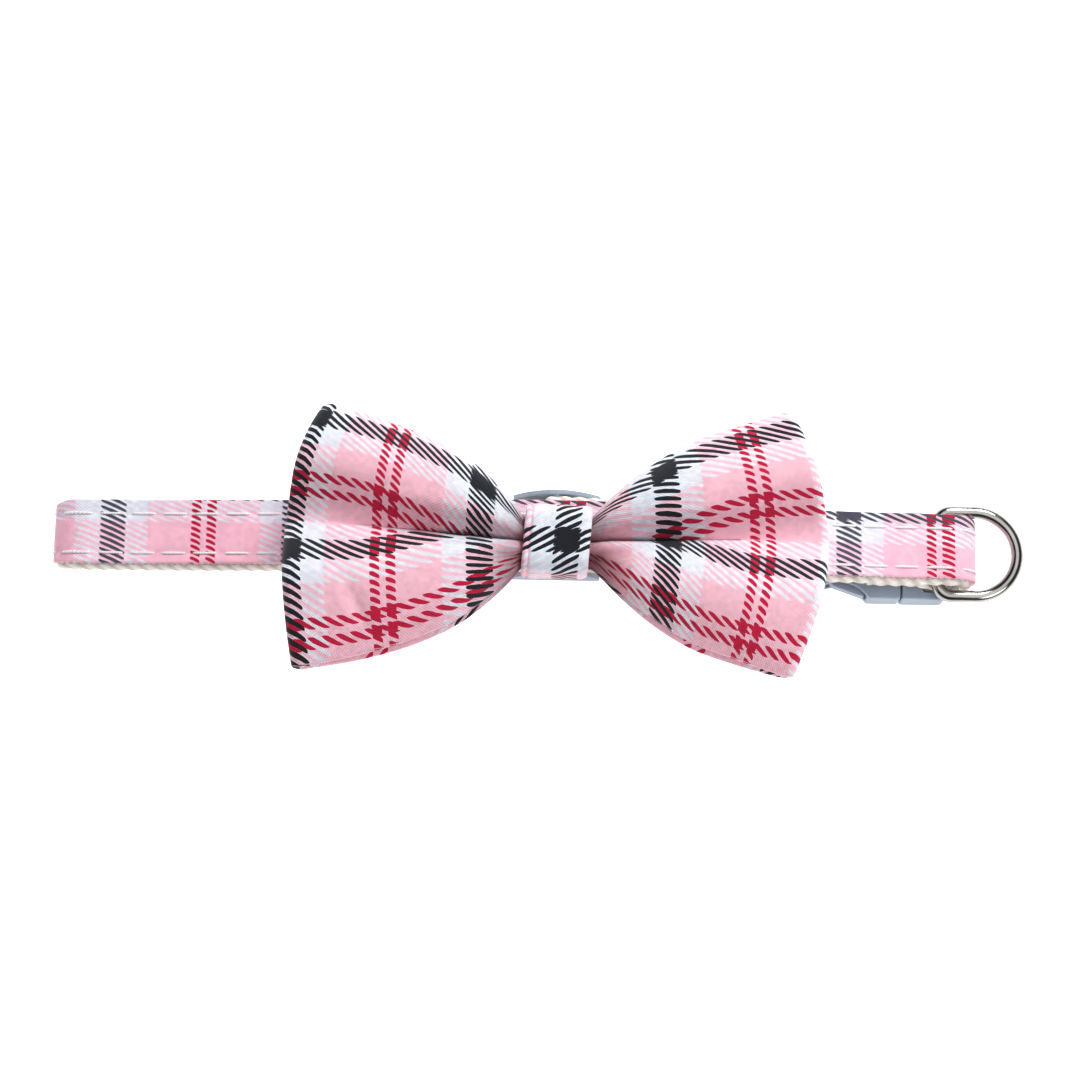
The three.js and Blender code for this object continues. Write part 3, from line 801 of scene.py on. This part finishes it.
def print_check(nodes, along, across, cut):
    """The printed check: slanted dashes in turn show the warp bars and the weft bars."""
    slant = nodes.scaled(along, 1 / cut.dash_along)
    dash = nodes.maths("FRACT", nodes.maths("ADD", slant, nodes.scaled(across, 1 / cut.dash_across)))
    level = nodes.maths("SUBTRACT", across, nodes.scaled(along, cut.skew))
    directions = (
        (along, cut.bar_along, WARP_REPEAT, WARP_DASH_MIDDLE),
        (level, cut.bar_across, cut.weft_repeat, WEFT_DASH_MIDDLE),
    )
    colours = []
    for place, bar, repeat, dash_middle in directions:
        from_middle = nodes.maths("SUBTRACT", dash, dash_middle)
        off = nodes.maths("POWER", nodes.scaled(from_middle, 1 / DASH_HALF), DASH_POWER)
        colours.append(print_bars(nodes, cut, place, bar, repeat, off))
    warp_light, weft_light = (nodes.lightness(colour) for colour in colours)
    lighter = nodes.maths("SUBTRACT", weft_light, warp_light)
    is_weft = nodes.maths("GREATER_THAN", dash, nodes.scaled(lighter, DARK_SPREAD, 0.5))
    is_pale = nodes.maths("GREATER_THAN", nodes.maths("MINIMUM", warp_light, weft_light), PALE)
    softness = nodes.scaled(is_pale, HATCH_SOFTNESS)
    return nodes.mix(softness, nodes.mix(is_weft, *colours), nodes.mix(0.5, *colours))


def printed_cotton(name, cut):
    """Plain-woven cotton with slubs, worn patches and the check, with painted shade in its folds."""
    nodes = Nodes(name, COTTON_LEVELS)
    along, across = nodes.cloth_place()
    check = print_check(nodes, along, across, cut)
    weave = nodes.maths("MULTIPLY", nodes.wave(along, WEAVE_PITCH), nodes.wave(across, WEAVE_PITCH))
    slubs = nodes.scaled(nodes.noise(*SLUB_NOISE), *SLUB_TONE)
    worn = nodes.scaled(nodes.noise(*WEAR_NOISE), *WEAR_TONE)
    patches = nodes.maths("MULTIPLY", slubs, worn)
    tone = nodes.maths("MULTIPLY", nodes.scaled(weave, *WEAVE_TONE), patches)
    cloth = nodes.mix(1, check, nodes.grey(tone), "MULTIPLY")
    # Painted shade: the fold attribute darkens the cloth's colour towards FOLD_SHADE in the pleat and by
    # the knot
    shaded = nodes.mix(nodes.attribute("fold"), cloth, linear(FOLD_SHADE), "MULTIPLY")
    nodes.finish("Base Color", shaded)
    nodes.vary_roughness(slubs, *COTTON_ROUGHNESS)
    nodes.bump(weave, *COTTON_BUMP)
    return nodes.material


def woven_webbing():
    """Ivory tape in a herringbone weave, with a rope-like twist along its edges."""
    nodes = Nodes("woven_webbing", WEBBING_LEVELS)
    along, across = nodes.cloth_place()
    zigzag = nodes.maths("PINGPONG", across, HERRINGBONE_HALF)
    rib = nodes.wave(nodes.maths("ADD", along, zigzag), RIB_PITCH)
    yarn = nodes.wave(nodes.maths("SUBTRACT", across, nodes.scaled(along, YARN_LEAN)), YARN_PITCH)
    face = nodes.scaled(yarn, YARN_HEIGHT, rib)
    rope = nodes.wave(nodes.maths("ADD", along, nodes.scaled(across, SELVEDGE_LEAN)), SELVEDGE_PITCH)
    from_middle = nodes.maths("ABSOLUTE", across)
    is_edge = nodes.maths("GREATER_THAN", from_middle, STRAP_WIDTH / 2 - SELVEDGE_WIDTH)
    height = nodes.blend(is_edge, face, nodes.scaled(rope, SELVEDGE_HEIGHT))
    tone = nodes.scaled(height, *IVORY_TONE)
    colour = nodes.ramp(tone, [(0, linear(IVORY_DARK)), (IVORY_FULL, linear(IVORY))])
    nodes.finish("Base Color", colour)
    nodes.bump(height, *WEBBING_BUMP)
    return nodes.material


def moulded_plastic():
    """Grey plastic, a little cloudy and finely grained."""
    nodes = Nodes("moulded_plastic", {})
    cloud = nodes.noise(*PLASTIC_NOISE)
    nodes.cloud(cloud, PLASTIC, *PLASTIC_CLOUD)
    nodes.vary_roughness(cloud, *PLASTIC_ROUGHNESS)
    nodes.bump(nodes.noise(*GRAIN_NOISE), *PLASTIC_BUMP)
    return nodes.material


def plated_wire():
    """Bright metal with faint cloudy wear."""
    nodes = Nodes("nickel_plate", NICKEL_LEVELS)
    cloud = nodes.noise(*NICKEL_NOISE)
    nodes.cloud(cloud, NICKEL, *NICKEL_CLOUD)
    nodes.vary_roughness(cloud, *NICKEL_ROUGHNESS)
    return nodes.material


def sewing_thread():
    """White thread whose plies twist along it."""
    nodes = Nodes("sewing_thread", THREAD_LEVELS)
    twist = nodes.wave(nodes.maths("ADD", *nodes.cloth_place()), TWIST_PITCH)
    nodes.cloud(nodes.scaled(twist, *TWIST_TONE), THREAD, *THREAD_CLOUD)
    nodes.bump(twist, *THREAD_BUMP)
    return nodes.material


strap_cotton = printed_cotton("strap_cotton", STRAP_CUT)
bow_cotton = printed_cotton("bow_cotton", BOW_CUT)
knot_cotton = printed_cotton("knot_cotton", KNOT_CUT)
webbing_cloth = woven_webbing()
plastic = moulded_plastic()
nickel = plated_wire()
thread = sewing_thread()


# Strap: a thin cotton cover, the webbing that fills up to it, its folded end and the topstitching


def selvedge(out, y, angle, edge, places, thickness):
    """Twisted edge cords: the rounded edges swell and pinch in diagonal turns."""
    phase = 2 * np.pi * places[:, None] / SELVEDGE_PITCH + angle[None, :]
    pinch = SELVEDGE_DEPTH * (1 - np.abs(np.cos(phase / 2))) * np.abs(edge)[None, :]
    middle = np.sign(edge) * (STRAP_WIDTH - thickness) / 2
    scale = 1 - pinch / (thickness / 2)
    rows_out = np.where(edge != 0, out.mean() + (out - out.mean()) * scale, out)
    rows_y = np.where(edge != 0, middle + (y - middle) * scale, y)
    return rows_out, rows_y


def make_tape(name, stretches, thickness, fill=None):
    """Woven tape along a route, and its length; fill thickens its outer half between two places."""
    route, places = resample(stretches, WEBBING_STEP)
    half = thickness / 2
    section = rounded_section(-STRAP_WIDTH / 2, STRAP_WIDTH / 2, -half, half, WEBBING_COLUMNS)
    out, y = selvedge(*section, places, thickness)
    if fill:
        start, end, share = fill
        inside = np.minimum(places - start, end - places)
        growth = 1 + share * eased(inside, FILL_FADE)
        out = np.where(out > 0, out * growth[:, None], out)
    return band(name, route, places, out, y), places[-1]


def make_webbing():
    """The webbing, thicker between the places where the cover starts and ends."""
    start = lengths_along(np.concatenate([WEBBING_RUN[0], OUTER_RUN[0][:1]]))[-1]
    covered = lengths_along(np.concatenate(OUTER_RUN))[-1]
    share = (COVER_INNER - COVER_GAP) / HALF_WEBBING - 1
    return make_tape("webbing_tape", WEBBING_RUN, WEBBING_THICKNESS, (start, start + covered, share))


def make_keeper():
    """The strap's end, folded back under the front run and dipping under the ring's bar."""
    front = slope((0, crown), (right_fold[0], right_top))
    sewn = front[(front[:, 0] >= KEEPER_TIP_X) & (front[:, 0] <= KEEPER_DIP_START_X)]
    sewn[:, 2] -= HALF_WEBBING + PLY_GAP + KEEPER_THICKNESS / 2
    stretches = [sewn, *slopes([(sewn[-1, 0], sewn[-1, 2]), KEEPER_DIP, KEEPER_END])]
    return make_tape("strap_end", stretches, KEEPER_THICKNESS)


def groove(across, places):
    """How far the sewn rows pull the cotton in, deepest where the needle went through."""
    depth = np.zeros((len(places), len(across)))
    needle = 0.5 + 0.5 * np.cos(2 * np.pi * places / STITCH_PITCH)
    share = GROOVE_SHARE + NEEDLE_SHARE * needle**NEEDLE_POWER
    for row in STITCH_ROWS:
        near = np.exp(-(((across - row) / GROOVE_WIDTH) ** 2))
        depth += STITCH_GROOVE * share[:, None] * near[None, :]
    return depth


def make_cover():
    """The strap's cotton cover with its sewn grooves, and its length."""
    route, places = resample(OUTER_RUN, FABRIC_STEP)
    high = STRAP_WIDTH / 2
    low = high - FABRIC_WIDTH
    out, y, angle, edge = rounded_section(low, high, COVER_INNER, FABRIC_OUTER, FABRIC_COLUMNS)
    is_outer = (edge == 0) & (angle > 0)
    rows_out = np.tile(out, (len(places), 1))
    rows_out[:, is_outer] -= groove(y[is_outer], places)
    return band("strap_cover", route, places, rows_out, np.tile(y, (len(places), 1))), places[-1]


def stitch_quads():
    """Corner rows and columns of one stitch's quads: its tube, and a strip of quads over each end."""
    strip = np.arange(THREAD_SIDES // 2 - 1)
    cap = np.stack([strip, strip + 1, THREAD_SIDES - 2 - strip, THREAD_SIDES - 1 - strip], axis=1)
    tube_rows, tube_columns = grid_quads(STITCH_RINGS, THREAD_SIDES, rows_closed=False)
    rows = np.concatenate([tube_rows, np.zeros_like(cap), np.full_like(cap, STITCH_RINGS - 1)])
    return rows, np.concatenate([tube_columns, cap[:, ::-1], cap])


def stitches(name, rest, lift, inside):
    """Rows of separate stitches on one face of the strap, their ends drawn into the cloth."""
    route, distance = resample(OUTER_RUN, FINE_STEP)
    count = int((distance[-1] - STITCH_PITCH) / STITCH_PITCH)
    along = np.linspace(-1, 1, STITCH_RINGS)
    angle = np.linspace(0, 2 * np.pi, THREAD_SIDES, endpoint=False)
    radius = THREAD_RADIUS * (STITCH_TIP + (1 - STITCH_TIP) * (1 - along**STITCH_TAPER_POWER))
    dip = lift - (lift + THREAD_RADIUS) * along**STITCH_DIP_POWER
    side = -1 if inside else 1
    ring_out = rest + side * dip[:, None] + radius[:, None] * np.cos(angle)
    ring_side = radius[:, None] * np.sin(angle) * THREAD_SPREAD
    centres = (np.arange(count) + (1 if inside else 0.5)) * STITCH_PITCH
    places = centres[:, None] + along * STITCH_LENGTH / 2
    base = at_places(places, distance, route)
    out = at_places(places, distance, outward(route))
    tubes = base[:, :, None] + out[:, :, None] * ring_out[..., None]
    tubes[..., 1] += ring_side
    tubes[..., 2] = np.maximum(tubes[..., 2], 0)
    points = np.concatenate([tubes.reshape(-1, 3) + (0, row, 0) for row in STITCH_ROWS])
    rows, columns = stitch_quads()
    quads = rows * THREAD_SIDES + columns % THREAD_SIDES
    starts = np.arange(0, len(points), STITCH_RINGS * THREAD_SIDES)
    faces = (starts[:, None, None] + quads).reshape(-1, 4)
    u = places[:, rows]
    v = np.broadcast_to(columns / THREAD_SIDES * TWIST_PITCH, u.shape)
    uvs = np.tile(np.stack([u, v], axis=-1).reshape(-1, 2), (len(STITCH_ROWS), 1))
    return make_object(name, points, faces.tolist(), uvs)


webbing, webbing_length = make_webbing()
strap_cover, cover_length = make_cover()
strap_end, end_length = make_keeper()
face_lift = THREAD_LIFT + FACE_LIFT_SHARE * THREAD_RADIUS
face_stitches = stitches("face_stitches", FABRIC_OUTER - STITCH_GROOVE, face_lift, inside=False)
back_stitches = stitches("back_stitches", -HALF_WEBBING, THREAD_LIFT, inside=True)
dress(webbing, webbing_cloth, ["webbing"])
dress(strap_cover, strap_cotton, ["strap_fabric"])
dress(strap_end, webbing_cloth, ["ring_keeper"])
dress(face_stitches, thread)
dress(back_stitches, thread)


# Wire ring, standing straight out from the strap's end with its straight bar on Y


def make_ring():
    """A bent wire: the straight bar, two corners and a round nose."""
    half = RING_EYE_WIDTH / 2 + RING_WIRE_RADIUS
    corner = RING_CORNER_RADIUS
    quarter = 90 // ARC_STEP_DEGREES + 1
    outline = np.concatenate([
        arc(corner, half - corner, corner, 180, 90, quarter),
        arc(RING_REACH - half, 0, half, 90, -90, 2 * quarter - 1),
        arc(corner, corner - half, corner, -90, -180, quarter),
    ])
    path, places, length = even_loop(outline, RING_ROWS)
    along = unit(loop_steps(path))
    angle = np.linspace(0, 2 * np.pi, WIRE_SIDES, endpoint=False)
    out = RING_WIRE_RADIUS * np.cos(angle)
    grid = np.zeros((RING_ROWS, WIRE_SIDES, 3))
    grid[..., 0] = path[:, :1] - along[:, 1:] * out
    grid[..., 1] = path[:, 1:] + along[:, :1] * out
    grid[..., 2] = RING_WIRE_RADIUS * np.sin(angle)
    u = np.broadcast_to(np.r_[places, length][:, None], (RING_ROWS + 1, WIRE_SIDES))
    v = np.broadcast_to(angle, (RING_ROWS, WIRE_SIDES))
    return skin("wire_ring", grid + ring_bar, u, v, rows_closed=True)


dress(make_ring(), nickel, ["d_ring"], body="ring")


# Bow: one loop of cloth, a front and a back sheet joined by a fold at the end of each wing


def wing_value(name, out):
    """A section's value at a distance from the bow's middle, on a smooth curve through the table."""
    values = np.array(WING_VALUES[name], dtype=float)
    steps = np.diff(values) / np.diff(WING_OUT)
    tangents = np.r_[steps[0], (steps[1:] + steps[:-1]) / 2, steps[-1]]
    index = np.clip(np.searchsorted(WING_OUT, out, side="right") - 1, 0, len(values) - 2)
    width = WING_OUT[index + 1] - WING_OUT[index]
    t = (out - WING_OUT[index]) / width
    return (
        values[index] * (1 + 2 * t) * (1 - t) ** 2
        + tangents[index] * width * t * (1 - t) ** 2
        + values[index + 1] * t**2 * (3 - 2 * t)
        - tangents[index + 1] * width * t**2 * (1 - t)
    )


def from_pleat(wing, out, across):
    """Place across a section, counted from the pleat, which climbs along the wing."""
    return across - wing.climb * (out / WING_REACH) * (1 - across**2)


def lobe_height(wing, out, across):
    """Height of the front sheet: a pleat that is sharp by the knot, and a lobe each side of it."""
    crest, pleat, fall = (wing_value(name, out) for name in ("crest", "pleat", "fall"))
    away = np.abs(from_pleat(wing, out, across))
    soft = (1 + np.cos(np.pi * np.clip(away / PLEAT_HALF, 0, 1))) / 2
    sharp = np.clip(1 - away / CREASE_HALF, 0, 1) ** CREASE_CURVE
    sharpness = CREASE_SHARE * (1 - eased(out - CREASE_FULL, CREASE_FADE))
    edge = np.clip((away - PLEAT_HALF) / (1 - PLEAT_HALF), 0, None)
    near = np.exp(-((away * wing_value(wing.heights, out) / SLIT_WIDTH) ** 2))
    slit = SLIT_DEPTH * near * (1 - eased(out - SLIT_START, SLIT_FADE))
    return crest - pleat * (soft + (sharp - soft) * sharpness) - fall * edge**2 - slit


def creases(side, out, across):
    """Small folds: gathers that fan out of the knot, a slow swell, and soft dents in the lobes."""
    past_waist = out - WAIST_HALF_LENGTH
    growth = eased(past_waist, FOLD_GROWTH)
    fan = np.exp(-np.clip(past_waist, 0, None) / GATHER_FADE)
    gathers = GATHER_DEPTH * fan * growth * np.sin(GATHER_RATE * across + GATHER_TURN * side)
    swell = SWELL_DEPTH * growth
    for rate_out, rate_across, turn in SWELL_WAVES:
        swell = swell * np.sin(rate_out * out + rate_across * across + turn * side)
    dents = np.zeros_like(out)
    for dent in DENTS:
        if dent.side == side:
            beside = across - dent.across
            offset = (out - dent.out) - dent.slant * beside
            dents -= dent.depth * np.exp(-((offset / dent.width) ** 2) - (beside / dent.length) ** 2)
    return gathers + swell + dents


def cloth_points(wing, out, across, turn):
    """Middle of the cloth on a section; turn goes round the wing's fold to the back sheet."""
    lean = np.where(across > 0, wing.lean_top, wing.lean_bottom)
    lean_in = lean * (out / WING_REACH) ** 2 * np.abs(across) ** wing.lean_curve
    fold = wing_value("sheets", out) / 2
    height = lobe_height(wing, out, across) + creases(wing.side, out, across)
    return np.stack([
        wing.side * (out - lean_in + fold * np.sin(turn)),
        wing_value(wing.heights, out) * across,
        height - fold * (1 - np.cos(turn)),
    ], axis=-1)


def bow_rows():
    """Rows round the loop from behind the knot, by the left wing first, and the loop's length."""
    fold_turns = np.linspace(0, np.pi, FOLD_ROWS + 2)[1:-1]
    fold_length = np.pi * wing_value("sheets", WING_REACH) / 2
    waist = np.linspace(0, WAIST_HALF_LENGTH, WAIST_ROWS, endpoint=False)
    outs = np.r_[waist, np.linspace(WAIST_HALF_LENGTH, WING_REACH, WING_ROWS)]
    behind = 2 * WING_REACH + fold_length
    half = [(out, 0, out) for out in outs]
    half += [(WING_REACH, turn, WING_REACH + fold_length * turn / np.pi) for turn in fold_turns]
    half += [(out, np.pi, behind - out) for out in outs[::-1]]
    rows = [BowRow(LEFT_WING, out, turn, -place) for out, turn, place in reversed(half)]
    rows += [BowRow(RIGHT_WING, *values) for values in half[1:-1]]
    return rows, 2 * behind


def cloth_across(wing, out, across, width):
    """Place across the flat cloth of each point of a section."""
    place = from_pleat(wing, out, across)
    hidden = SWALLOWED * (1 - eased(out - WAIST_HALF_LENGTH, SWALLOWED_FADE))
    return np.sign(place) * (hidden + np.abs(place) * (width / 2 - hidden))


def fold_shade(wing, out, across):
    """How much painted shade each point of a section gets, from 0 on open cloth to 1."""
    place = from_pleat(wing, out, across) * wing_value(wing.heights, out)
    past_waist = np.clip(out - WAIST_HALF_LENGTH, 0, None)
    fade = 1 - eased(out - LINE_START, LINE_FADE)
    line = fade * np.exp(-((place / LINE_WIDTH) ** 2))
    over = SLOPE_SHARE * fade * np.exp(-np.abs(place) / SLOPE_WIDTH) * (place > 0)
    nip = NIP_SHARE * np.exp(-past_waist / NIP_LENGTH)
    lower = eased(-place - UNDER_START, UNDER_WIDTH)
    under = UNDER_SHARE * lower * np.exp(-((past_waist / UNDER_LENGTH) ** 2))
    return 1 - (1 - line) * (1 - over) * (1 - nip) * (1 - under)


def bow_grid(rows, across, rim_turns):
    """Sections of the bow's wall: the outer face, a rounded rim, the inner face and the other rim."""
    middle = np.stack([
        cloth_points(row.wing, np.full(WING_COLUMNS, row.out), across, row.turn) for row in rows
    ])
    side = np.gradient(middle, axis=1)
    normal = unit(np.cross(loop_steps(middle), side)) * BOW_WALL / 2
    rims = []
    for column, sign in ((-1, 1), (0, -1)):
        edge = unit(sign * side[:, column]) * BOW_WALL / 2
        first = normal[:, column] * sign
        rims.append(np.stack([
            middle[:, column] + first * np.cos(turn) + edge * np.sin(turn) for turn in rim_turns
        ], axis=1))
    return np.concatenate([middle + normal, rims[0], (middle - normal)[:, ::-1], rims[1]], axis=1)


def make_bow():
    """The bow with the painted shade of its folds, and its flat width and length."""
    rows, loop_length = bow_rows()
    across = np.linspace(-1, 1, WING_COLUMNS)
    rim_turns = np.linspace(0, np.pi, RIM_COLUMNS + 2)[1:-1]
    grid = bow_grid(rows, across, rim_turns) + (0, -BOW_DROP, CROWN_HEIGHT + BOW_SEAT_GAP)
    width_line = cloth_points(RIGHT_WING, np.full(WING_COLUMNS, FLAT_WIDTH_OUT), across, 0)
    width = lengths_along(width_line)[-1]
    rim = BOW_WALL / 2 * rim_turns
    v = []
    shade = []
    for row in rows:
        place = cloth_across(row.wing, row.out, across, width)
        v.append(np.concatenate([place, place[-1] + rim, place[::-1], place[0] - rim]))
        painted_shade = fold_shade(row.wing, row.out, across)
        shade += [painted_shade, np.full(RIM_COLUMNS, painted_shade[-1]), painted_shade[::-1], np.full(RIM_COLUMNS, painted_shade[0])]
    lengths = np.array([row.place for row in rows])
    ends = np.r_[lengths, lengths[0] + loop_length]
    u = np.broadcast_to(ends[:, None], (len(ends), grid.shape[1]))
    made = skin("bow_loop", grid, u, np.stack(v), rows_closed=True)
    # The fold attribute carries the painted shade that darkens the cotton's colour
    fold = made.data.attributes.new("fold", "FLOAT", "POINT")
    fold.data.foreach_set("value", np.concatenate(shade))
    return made, width, loop_length


def make_knot():
    """Band of cloth round the waist, a little skewed, with a fold along one edge; and its length."""
    flat_half = KNOT_HALF_HEIGHT - KNOT_CORNER
    top = KNOT_DEPTH - KNOT_CORNER
    corners = (
        (flat_half, top, 0),
        (-flat_half, top, 90),
        (-flat_half, KNOT_CORNER, 180),
        (flat_half, KNOT_CORNER, 270),
    )
    outline = np.concatenate([
        arc(y, z, KNOT_CORNER, start, start + 90, KNOT_CORNER_POINTS) for y, z, start in corners
    ])
    path, places, length = even_loop(outline, KNOT_ROWS)
    along = loop_steps(path)
    normal = unit(np.stack([along[:, 1], -along[:, 0]], axis=1))
    out, x, angle, edge = rounded_section(
        -KNOT_HALF_LENGTH, KNOT_HALF_LENGTH, -KNOT_WALL, 0, KNOT_COLUMNS,
    )
    is_outer = (edge == 0) & (angle > 0)
    from_fold = x - KNOT_FOLD_X
    fold = KNOT_FOLD_DEPTH * np.exp(-((from_fold / KNOT_FOLD_WIDTH) ** 2))
    hem = KNOT_HEM_STEP * (from_fold < 0)
    puff = KNOT_PUFF * (1 - (x / KNOT_HALF_LENGTH) ** 2)
    ripple = RIPPLE_DEPTH * np.sin(RIPPLE_RATE * x + RIPPLE_START)
    out = out + np.where(is_outer, puff + ripple - fold - hem, 0)
    grid = np.zeros((KNOT_ROWS, len(x), 3))
    grid[..., 1] = path[:, :1] + normal[:, :1] * out
    grid[..., 2] = path[:, 1:] + normal[:, 1:] * out
    grid[..., 0] = x + KNOT_SKEW * grid[..., 1]
    grid[..., 1] -= KNOT_TILT * x * (path[:, :1] > 0)
    grid += (0, KNOT_RISE - BOW_DROP, CROWN_HEIGHT + BOW_SEAT_GAP)
    u = np.broadcast_to(x, (KNOT_ROWS + 1, len(x)))
    v = np.broadcast_to((length / 4 - places)[:, None], (KNOT_ROWS, len(x)))
    return skin("knot_band", grid, u, v, rows_closed=True), length


bow, bow_width, bow_length = make_bow()
knot, knot_length = make_knot()
dress(bow, bow_cotton, ["bow"])
dress(knot, knot_cotton, ["bow_knot"])


# Moulded plastic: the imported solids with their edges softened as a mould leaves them

for node in ("slider", "buckle_female", "buckle_male"):
    solid = frame["nodes"][node]
    remesh = solid.modifiers.new("mould", "REMESH")
    remesh.mode = "VOXEL"
    remesh.voxel_size = MOULD_VOXEL * MM
    remesh.use_smooth_shade = True
    soften = solid.modifiers.new("soften", "SMOOTH")
    soften.factor = MOULD_FACTOR
    soften.iterations = MOULD_SMOOTHING
    cover(solid, plastic)


# Floor, light and camera


def make_floor():
    """White paper, bright enough to read as a plain background."""
    mesh = bpy.data.meshes.new("floor")
    corners = [(x * FLOOR_HALF, y * FLOOR_HALF, 0) for x, y in ((-1, -1), (1, -1), (1, 1), (-1, 1))]
    mesh.from_pydata(corners, [], [(0, 1, 2, 3)])
    nodes = Nodes("floor_paper", FLOOR_LEVELS)
    nodes.cloud(nodes.noise(*FLOOR_NOISE), FLOOR, *FLOOR_CLOUD)
    mesh.materials.append(nodes.material)
    floor = link_object("floor", mesh)


def make_lamp(name, location, size, watts):
    """A round area light aimed at the frame's origin."""
    data = bpy.data.lights.new(name, "AREA")
    data.shape = "DISK"
    data.size = size
    data.energy = watts
    lamp = link_object(name, data)
    lamp.location = location
    lamp.rotation_euler = (-Vector(location)).to_track_quat("-Z", "Y").to_euler()


def make_world():
    """Studio: a pale wall, a dark gap over it that metal mirrors, and a pale ceiling."""
    world = bpy.data.worlds.new("studio")
    bpy.context.scene.world = world
    world.use_nodes = True
    tree = world.node_tree
    direction = tree.nodes.new("ShaderNodeTexCoord")
    split = tree.nodes.new("ShaderNodeSeparateXYZ")
    tree.links.new(direction.outputs["Generated"], split.inputs[0])
    ramp = tree.nodes.new("ShaderNodeValToRGB")
    fill_ramp(ramp.color_ramp, [
        (height, (*(tint * light for tint in STUDIO_TINT), 1)) for height, light in STUDIO_LIGHT
    ])
    tree.links.new(split.outputs["Z"], ramp.inputs["Fac"])
    tree.links.new(ramp.outputs["Color"], tree.nodes["Background"].inputs["Color"])


def make_camera():
    """The photo's view, rolled a little."""
    data = bpy.data.cameras.new("camera")
    data.sensor_width = CAMERA_SENSOR
    data.lens = CAMERA_LENS
    data.clip_start = CAMERA_NEAR
    camera = link_object("camera", data)
    tilt = math.radians(CAMERA_ELEVATION)
    back = Vector((0, -math.cos(tilt), math.sin(tilt)))
    camera.location = Vector(CAMERA_AIM) + back * CAMERA_DISTANCE
    aim = (-back).to_track_quat("-Z", "Y").to_matrix()
    roll = Matrix.Rotation(math.radians(CAMERA_ROLL), 3, "Z")
    camera.rotation_euler = (aim @ roll).to_euler()
    bpy.context.scene.camera = camera


make_floor()
make_world()
for values in LAMPS:
    make_lamp(**values)
make_camera()
bpy.context.scene.view_settings.view_transform = "Standard"
